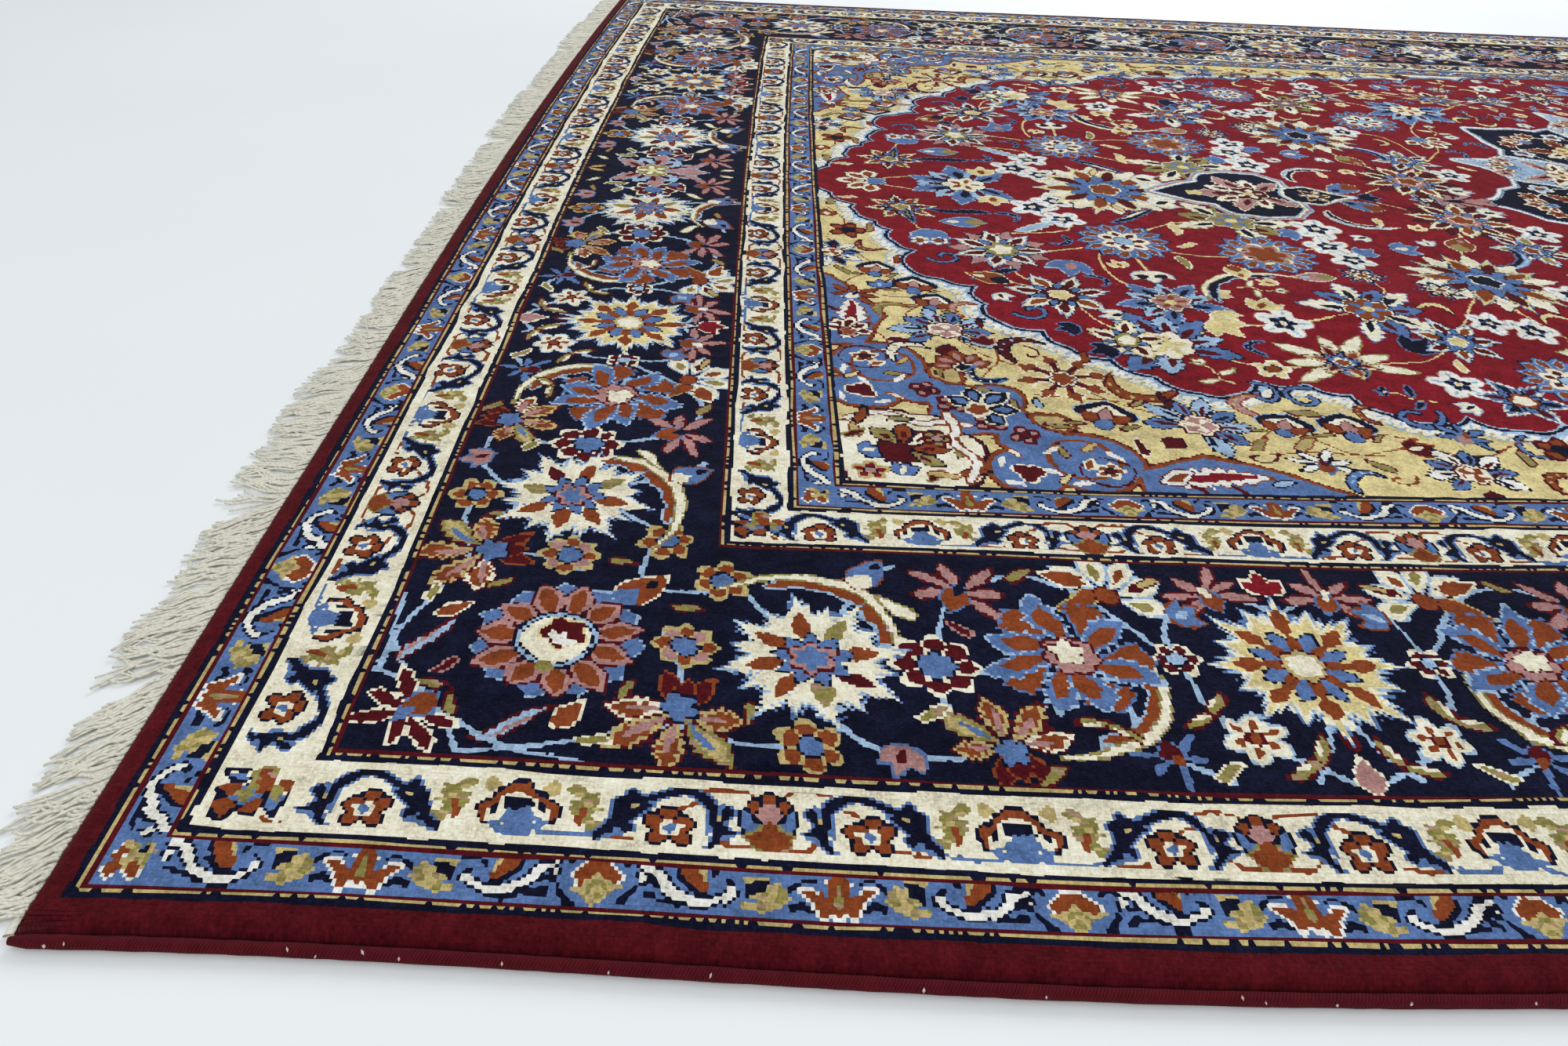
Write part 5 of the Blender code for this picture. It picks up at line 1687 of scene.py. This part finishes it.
def side_cord(name, across, seed):
    rng = np.random.default_rng(seed)
    outwards = -1 if across == 0 else 1
    along = np.linspace(0, PILE_LENGTH, CORD_RINGS)
    centre = lay(along, np.full(CORD_RINGS, across), CORD / 2)
    centre[:, 1] += outwards * (GAP + CORD / 2)
    size = CORD / 2 * (1 - rng.uniform(0, 0.09, CORD_RINGS))
    size[0] = size[-1] = CORD * 0.28
    angle = np.arange(CORD_SIDES) / CORD_SIDES * TAU
    ring_y = np.cos(angle)[None, :] * size[:, None]
    ring_z = np.sin(angle)[None, :] * size[:, None]
    points = np.stack((np.repeat(centre[:, :1], CORD_SIDES, 1), centre[:, 1:2] + ring_y,
                       centre[:, 2:] + ring_z), -1)
    points = points.reshape(-1, 3)
    k, m = np.meshgrid(np.arange(CORD_RINGS - 1), np.arange(CORD_SIDES), indexing="ij")
    after = (m + 1) % CORD_SIDES
    faces = np.stack((k * CORD_SIDES + m, (k + 1) * CORD_SIDES + m, (k + 1) * CORD_SIDES + after,
                      k * CORD_SIDES + after), -1)
    faces = faces.reshape(-1, 4)
    step = PILE_LENGTH / (CORD_RINGS - 1)
    turn = CORD / 2 * TAU / CORD_SIDES
    cord_u = np.stack((k, k + 1, k + 1, k), -1) * step
    cord_v = np.stack((m, m, m + 1, m + 1), -1) * turn
    uvs = np.stack((cord_u, cord_v), -1).reshape(-1, 4, 2)
    ends = []
    for first, way in ((0, 1), ((CORD_RINGS - 1) * CORD_SIDES, -1)):
        loop = first + np.arange(CORD_SIDES)
        middle = len(points) + len(ends)
        ends.append(points[loop].mean(0) - (way * CAP_DOME, 0, 0))
        # the cap's triangles are joined in pairs, so that every face keeps four corners
        hub = np.full(CORD_SIDES // 2, middle)
        cap = np.stack((loop[::2], loop[1::2], np.roll(loop, -2)[::2], hub), -1)
        faces = np.vstack((faces, cap[:, ::way]))
        uvs = np.vstack((uvs, np.zeros((len(cap), 4, 2))))
    points = np.vstack((points, ends))
    index = np.zeros(len(faces), int)
    # ends of the white warp that show between the turns
    flecks, fleck_faces = [], []
    place = BARE_ENDS
    while place < PILE_LENGTH - BARE_ENDS:
        at = lay(place, across, CORD / 2)
        at[1] += outwards * (GAP + CORD / 2)
        lean, tilt = rng.uniform(-0.6, 0.6), rng.uniform(0.2, 1.2)
        long, wide = rng.uniform(0.0008, 0.0018), rng.uniform(0.0005, 0.0011)
        out = np.array((0, outwards * math.cos(tilt), math.sin(tilt)))
        over = np.array((0, -outwards * math.sin(tilt), math.cos(tilt)))
        way = math.cos(lean) * over + math.sin(lean) * np.array((1.0, 0, 0))
        side = np.cross(out, way)
        base = at + out * (CORD / 2 - FLECK_SUNK)
        n = len(points) + 6 * len(flecks)
        flecks.append((base + way * long, base + side * wide, base - way * long, base - side * wide,
                       base + out * FLECK_LIFT + way * long * 0.4,
                       base + out * FLECK_LIFT - way * long * 0.4))
        fleck_faces += [(n, n + 1, n + 5, n + 4), (n + 1, n + 2, n + 3, n + 5), (n + 3, n, n + 4, n + 5)]
        place += rng.choice(FLECK_STEPS) * rng.uniform(0.6, 1.3)
    points = np.vstack((points, np.array(flecks).reshape(-1, 3)))
    faces = np.vstack((faces, fleck_faces))
    uvs = np.vstack((uvs, np.zeros((len(fleck_faces), 4, 2))))
    index = np.concatenate((index, np.ones(len(fleck_faces), int)))
    cord = make(name, points, faces, [cord_wool, warp_cotton], uvs, index)
    return cord


cord_wool = cord_material()
warp_cotton = cotton("warp_cotton", "dccbc6", 0.3)
near_cord = side_cord("overcast_near", 0.0, 21)
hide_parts("side_cord_near")
far_cord = side_cord("overcast_far", PILE_WIDTH, 22)
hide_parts("side_cord_far")

# ---- the fringes
FRINGE_REACH = 0.048
CLUMPS = (  # from and to, in shares of the width, length share, lean towards the near side, gather
    (0.00, 0.04, 0.80, 0.45, 0.10), (0.04, 0.08, 0.86, 0.60, 0.26), (0.08, 0.12, 1.00, 0.50, 0.22),
    (0.12, 0.16, 0.94, 0.30, 0.24), (0.16, 0.26, 1.06, 0.22, 0.10), (0.26, 0.36, 0.84, 0.28, 0.10),
    (0.36, 0.44, 0.80, 0.40, 0.14), (0.44, 0.56, 0.92, 0.22, 0.08), (0.56, 0.68, 1.00, 0.12, 0.10),
    (0.68, 0.80, 0.90, 0.30, 0.10), (0.80, 0.91, 1.00, 0.18, 0.12), (0.91, 1.00, 0.86, 0.10, 0.16))
YARNS = 1330
YARN = 0.0021            # width of a yarn
LOCK = 6                 # yarns that wave alike
STEPS = 9
SIDES = 3
END_MARGIN = 0.004
YARN_STRAY = 0.0058      # how far a yarn ends beside its clump's line
LOCK_STRAY = 0.007       # the same for a lock of them
BOW = 0.0016             # of a yarn's middle
TIP_DRIFT = 0.0045
CRIMP = (0.0010, 0.0036)
FOOT_HEIGHT = 0.0042     # where a yarn leaves the woven end
REST_HEIGHT = YARN * 0.42
DROP_REACH = 0.012
WOVEN_END = (  # its section: reach from the pile's edge, height
    (0.0, 0.0006), (0.0, 0.0036), (0.0030, 0.0034), (0.0055, 0.0022), (0.0068, 0.0006))
WOVEN_STEPS = 120


def halved(quads):
    """Two triangles for each face of four corners."""
    return np.vstack((quads[:, :3], quads[:, (0, 2, 3)]))


def fringe(name, left, seed):
    rng = np.random.default_rng(seed)
    share = np.linspace(END_MARGIN, 1 - END_MARGIN, YARNS) + rng.uniform(-0.4, 0.4, YARNS) * (1 / YARNS)
    clump = np.array([next((c for c in CLUMPS if s <= c[1]), CLUMPS[-1]) for s in share])
    start, stop, long_share, lean, gather = clump.T
    length = (FRINGE_REACH + 0.004) * long_share * rng.uniform(0.70, 1.06, YARNS)
    to_middle = (share - (start + stop) / 2) * PILE_WIDTH
    sideways = lean * length + gather * to_middle + rng.normal(0, YARN_STRAY, YARNS)
    at = np.linspace(0, 1, STEPS + 1)[None, :]
    lock = np.arange(YARNS) // LOCK
    wave = rng.uniform(1.1, 2.0, YARNS)[lock][:, None]
    phase = (rng.uniform(0, TAU, YARNS)[lock] + rng.normal(0, 0.6, YARNS))[:, None]
    sideways = sideways + rng.normal(0, LOCK_STRAY, YARNS)[lock]
    crimp = rng.uniform(*CRIMP, YARNS)[lock][:, None] * np.sin(TAU * wave * at + phase)
    crimp = crimp * np.minimum(1, at * 5)
    bow = rng.normal(0, BOW, YARNS)[:, None] * np.sin(math.pi * at)
    stray = bow + rng.normal(0, TIP_DRIFT, YARNS)[:, None] * at ** 3
    out = at * length[:, None] - 0.0008
    side = sideways[:, None] * at ** 1.4 + crimp + stray
    layer = rng.uniform(0, 0.0022, YARNS)[:, None]
    drop = np.clip(1 - out / DROP_REACH, 0, 1)
    height = REST_HEIGHT + layer * (1 - 0.5 * at) + (FOOT_HEIGHT - REST_HEIGHT) * drop ** 1.5
    height += 0.0005 * np.abs(np.sin(TAU * wave * at * 0.7 + phase * 2)) * np.minimum(1, at * 3)
    turn = PILE_WIDTH * share[:, None] if left else PILE_WIDTH * (1 - share[:, None])
    foot = lay(np.full(turn.shape, 0.0 if left else PILE_LENGTH), turn, 0.0)
    way = -1 if left else 1
    x = foot[..., 0] + way * (GAP + out)
    y = foot[..., 1] + way * side
    centre = np.stack((x, y, height), -1)
    ahead = np.gradient(centre, axis=1)
    ahead /= np.linalg.norm(ahead, axis=-1, keepdims=True)
    across = np.cross(ahead, (0, 0, 1.0))
    across /= np.linalg.norm(across, axis=-1, keepdims=True)
    above = np.cross(across, ahead)
    size = YARN / 2 * rng.uniform(0.8, 1.15, YARNS)[:, None] * (1 - 0.25 * at ** 3)
    size = size * (1 + 0.12 * np.sin(TAU * at * 6 + phase))
    angle = (np.arange(SIDES) + 0.5) / SIDES * TAU
    beside = across[:, :, None] * np.cos(angle)[None, None, :, None]
    over = above[:, :, None] * (0.8 * np.sin(angle))[None, None, :, None]
    points = centre[:, :, None] + (beside + over) * size[..., None, None] * 1.25
    points[..., 2] = np.maximum(points[..., 2], 0.0002)
    points = points.reshape(-1, 3)
    y_id, k, m = np.meshgrid(np.arange(YARNS), np.arange(STEPS), np.arange(SIDES), indexing="ij")
    base = y_id * (STEPS + 1) * SIDES
    after = (m + 1) % SIDES
    faces = np.stack((base + k * SIDES + m, base + k * SIDES + after, base + (k + 1) * SIDES + after,
                      base + (k + 1) * SIDES + m), -1)
    faces = faces.reshape(-1, 4)
    step = length[:, None, None] / STEPS
    uv_u = np.stack((k * step, k * step, (k + 1) * step, (k + 1) * step), -1)
    uv_v = np.stack((m, m + 1, m + 1, m), -1) / SIDES + y_id[..., None] * 7.31
    uvs = np.stack((uv_u, uv_v), -1).reshape(-1, 4, 2)
    # the woven end that the yarns come out of
    v = np.linspace(0, PILE_WIDTH, WOVEN_STEPS)
    strip = []
    for reach, lift in WOVEN_END:
        row = lay(np.full(v.shape, 0.0 if left else PILE_LENGTH), v, 0.0)
        row[:, 0] += way * (GAP + reach)
        row[:, 2] = lift
        strip.append(row)
    strip = np.stack(strip, 1)
    n = len(points)
    corners = len(WOVEN_END)
    k, m = np.meshgrid(np.arange(WOVEN_STEPS - 1), np.arange(corners), indexing="ij")
    after = (m + 1) % corners
    quads = np.stack((k * corners + m, k * corners + after, (k + 1) * corners + after,
                      (k + 1) * corners + m), -1)
    quads = quads.reshape(-1, 4) + n
    if not left:
        quads = quads[:, ::-1]
    strip_u = np.stack((k, k, k + 1, k + 1), -1) * (v[1] - v[0])
    strip_v = np.stack((m, m + 1, m + 1, m), -1) * 0.25
    strip_uv = np.stack((strip_u, strip_v), -1).reshape(-1, 4, 2)
    points = np.vstack((points, strip.reshape(-1, 3)))
    faces = halved(np.vstack((faces, quads)))
    uvs = halved(np.vstack((uvs, strip_uv)))
    first = np.arange(YARNS)[:, None] * (STEPS + 1) * SIDES
    root_ends = first + np.arange(SIDES)[::-1]
    free_ends = first + STEPS * SIDES + np.arange(SIDES)
    faces = np.vstack((faces, root_ends, free_ends))
    uvs = np.vstack((uvs, np.zeros((2 * YARNS, SIDES, 2))))
    piece = make(name, points, faces, [fringe_cotton], uvs)
    return piece


fringe_cotton = cotton("fringe_cotton", "faf6e4", 0.18)
left_fringe = fringe("fringe_yarns_left", True, 31)
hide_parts("fringe_left")
right_fringe = fringe("fringe_yarns_right", False, 32)
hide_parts("fringe_right")

# ---- floor, lights and camera
n = Nodes("pale_floor")
where = n.add("TexCoord").outputs["Object"]
tone = n.ramp(n.noise(where, 1.3, 3.0), (0.3, colour_of("eef1f2")), (0.7, colour_of("f3f5f5")))
floor_material = n.finish(tone, n.bump(n.noise(where, 90.0, 2.0), 0.05, 0.001), 0.45, 0.0, 0.5, 0.3)
floor_mesh = bpy.data.meshes.new("floor")
FLOOR_REACH = 20.0
FLOOR_TOP = -0.0004      # a hair under the rug, so that the two never share a face
AROUND = ((-1, -1), (1, -1), (1, 1), (-1, 1))
floor_corners = [(x * FLOOR_REACH, y * FLOOR_REACH, FLOOR_TOP) for x, y in AROUND]
floor_mesh.from_pydata(floor_corners, [], [(0, 1, 2, 3)])
floor_mesh.materials.append(floor_material)
floor = bpy.data.objects.new("floor", floor_mesh)
bpy.context.scene.collection.objects.link(floor)

world = bpy.data.worlds.new("soft_daylight")
world.use_nodes = True
world.node_tree.nodes["Background"].inputs["Color"].default_value = (0.91, 0.955, 1.0, 1.0)
world.node_tree.nodes["Background"].inputs["Strength"].default_value = 0.64
bpy.context.scene.world = world


def area_light(name, place, aim, width, power, colour=(1.0, 1.0, 1.0)):
    data = bpy.data.lights.new(name, "AREA")
    data.shape = "DISK"
    data.size = width
    data.energy = power
    data.color = colour
    lamp = bpy.data.objects.new(name, data)
    lamp.location = place
    lamp.rotation_euler = (Vector(aim) - Vector(place)).to_track_quat("-Z", "Y").to_euler()
    bpy.context.scene.collection.objects.link(lamp)


area_light("over_the_far_side", (0.5, 4.5, 3.6), (0.0, 0.2, 0.0), 4.0, 165)
area_light("over_the_near_side", (-2.4, -3.2, 3.0), (-1.0, -1.2, 0.0), 3.0, 38, (1.0, 0.98, 0.95))

# the camera, from the photograph's own perspective
SENSOR = 36.0
FOCAL = 1406.6 / 2000 * SENSOR
TILT, YAW, ROLL = math.radians(35.63), math.radians(2.27), math.radians(2.91)
forward = Vector((math.sin(YAW) * math.cos(TILT), math.cos(YAW) * math.cos(TILT), -math.sin(TILT)))
right = Vector((math.cos(YAW), -math.sin(YAW), 0.0))
up = right.cross(forward)
turned_right = math.cos(ROLL) * right + math.sin(ROLL) * up
turned_up = -math.sin(ROLL) * right + math.cos(ROLL) * up
EYE = (0.832, -0.733, 1.144)             # from the near left corner, in border depths
eye = Vector((SHIFT_X + EYE[0] * DEPTH, SHIFT_Y + EYE[1] * DEPTH, THICKNESS + EYE[2] * DEPTH))
camera_data = bpy.data.cameras.new("camera")
camera_data.lens = FOCAL
camera_data.sensor_width = SENSOR
camera_data.clip_start = 0.01
camera = bpy.data.objects.new("camera", camera_data)
camera.matrix_world = Matrix((
    (turned_right.x, turned_up.x, -forward.x, eye.x), (turned_right.y, turned_up.y, -forward.y, eye.y),
    (turned_right.z, turned_up.z, -forward.z, eye.z), (0, 0, 0, 1)))
bpy.context.scene.collection.objects.link(camera)
bpy.context.scene.camera = camera
bpy.context.scene.view_settings.view_transform = "Standard"
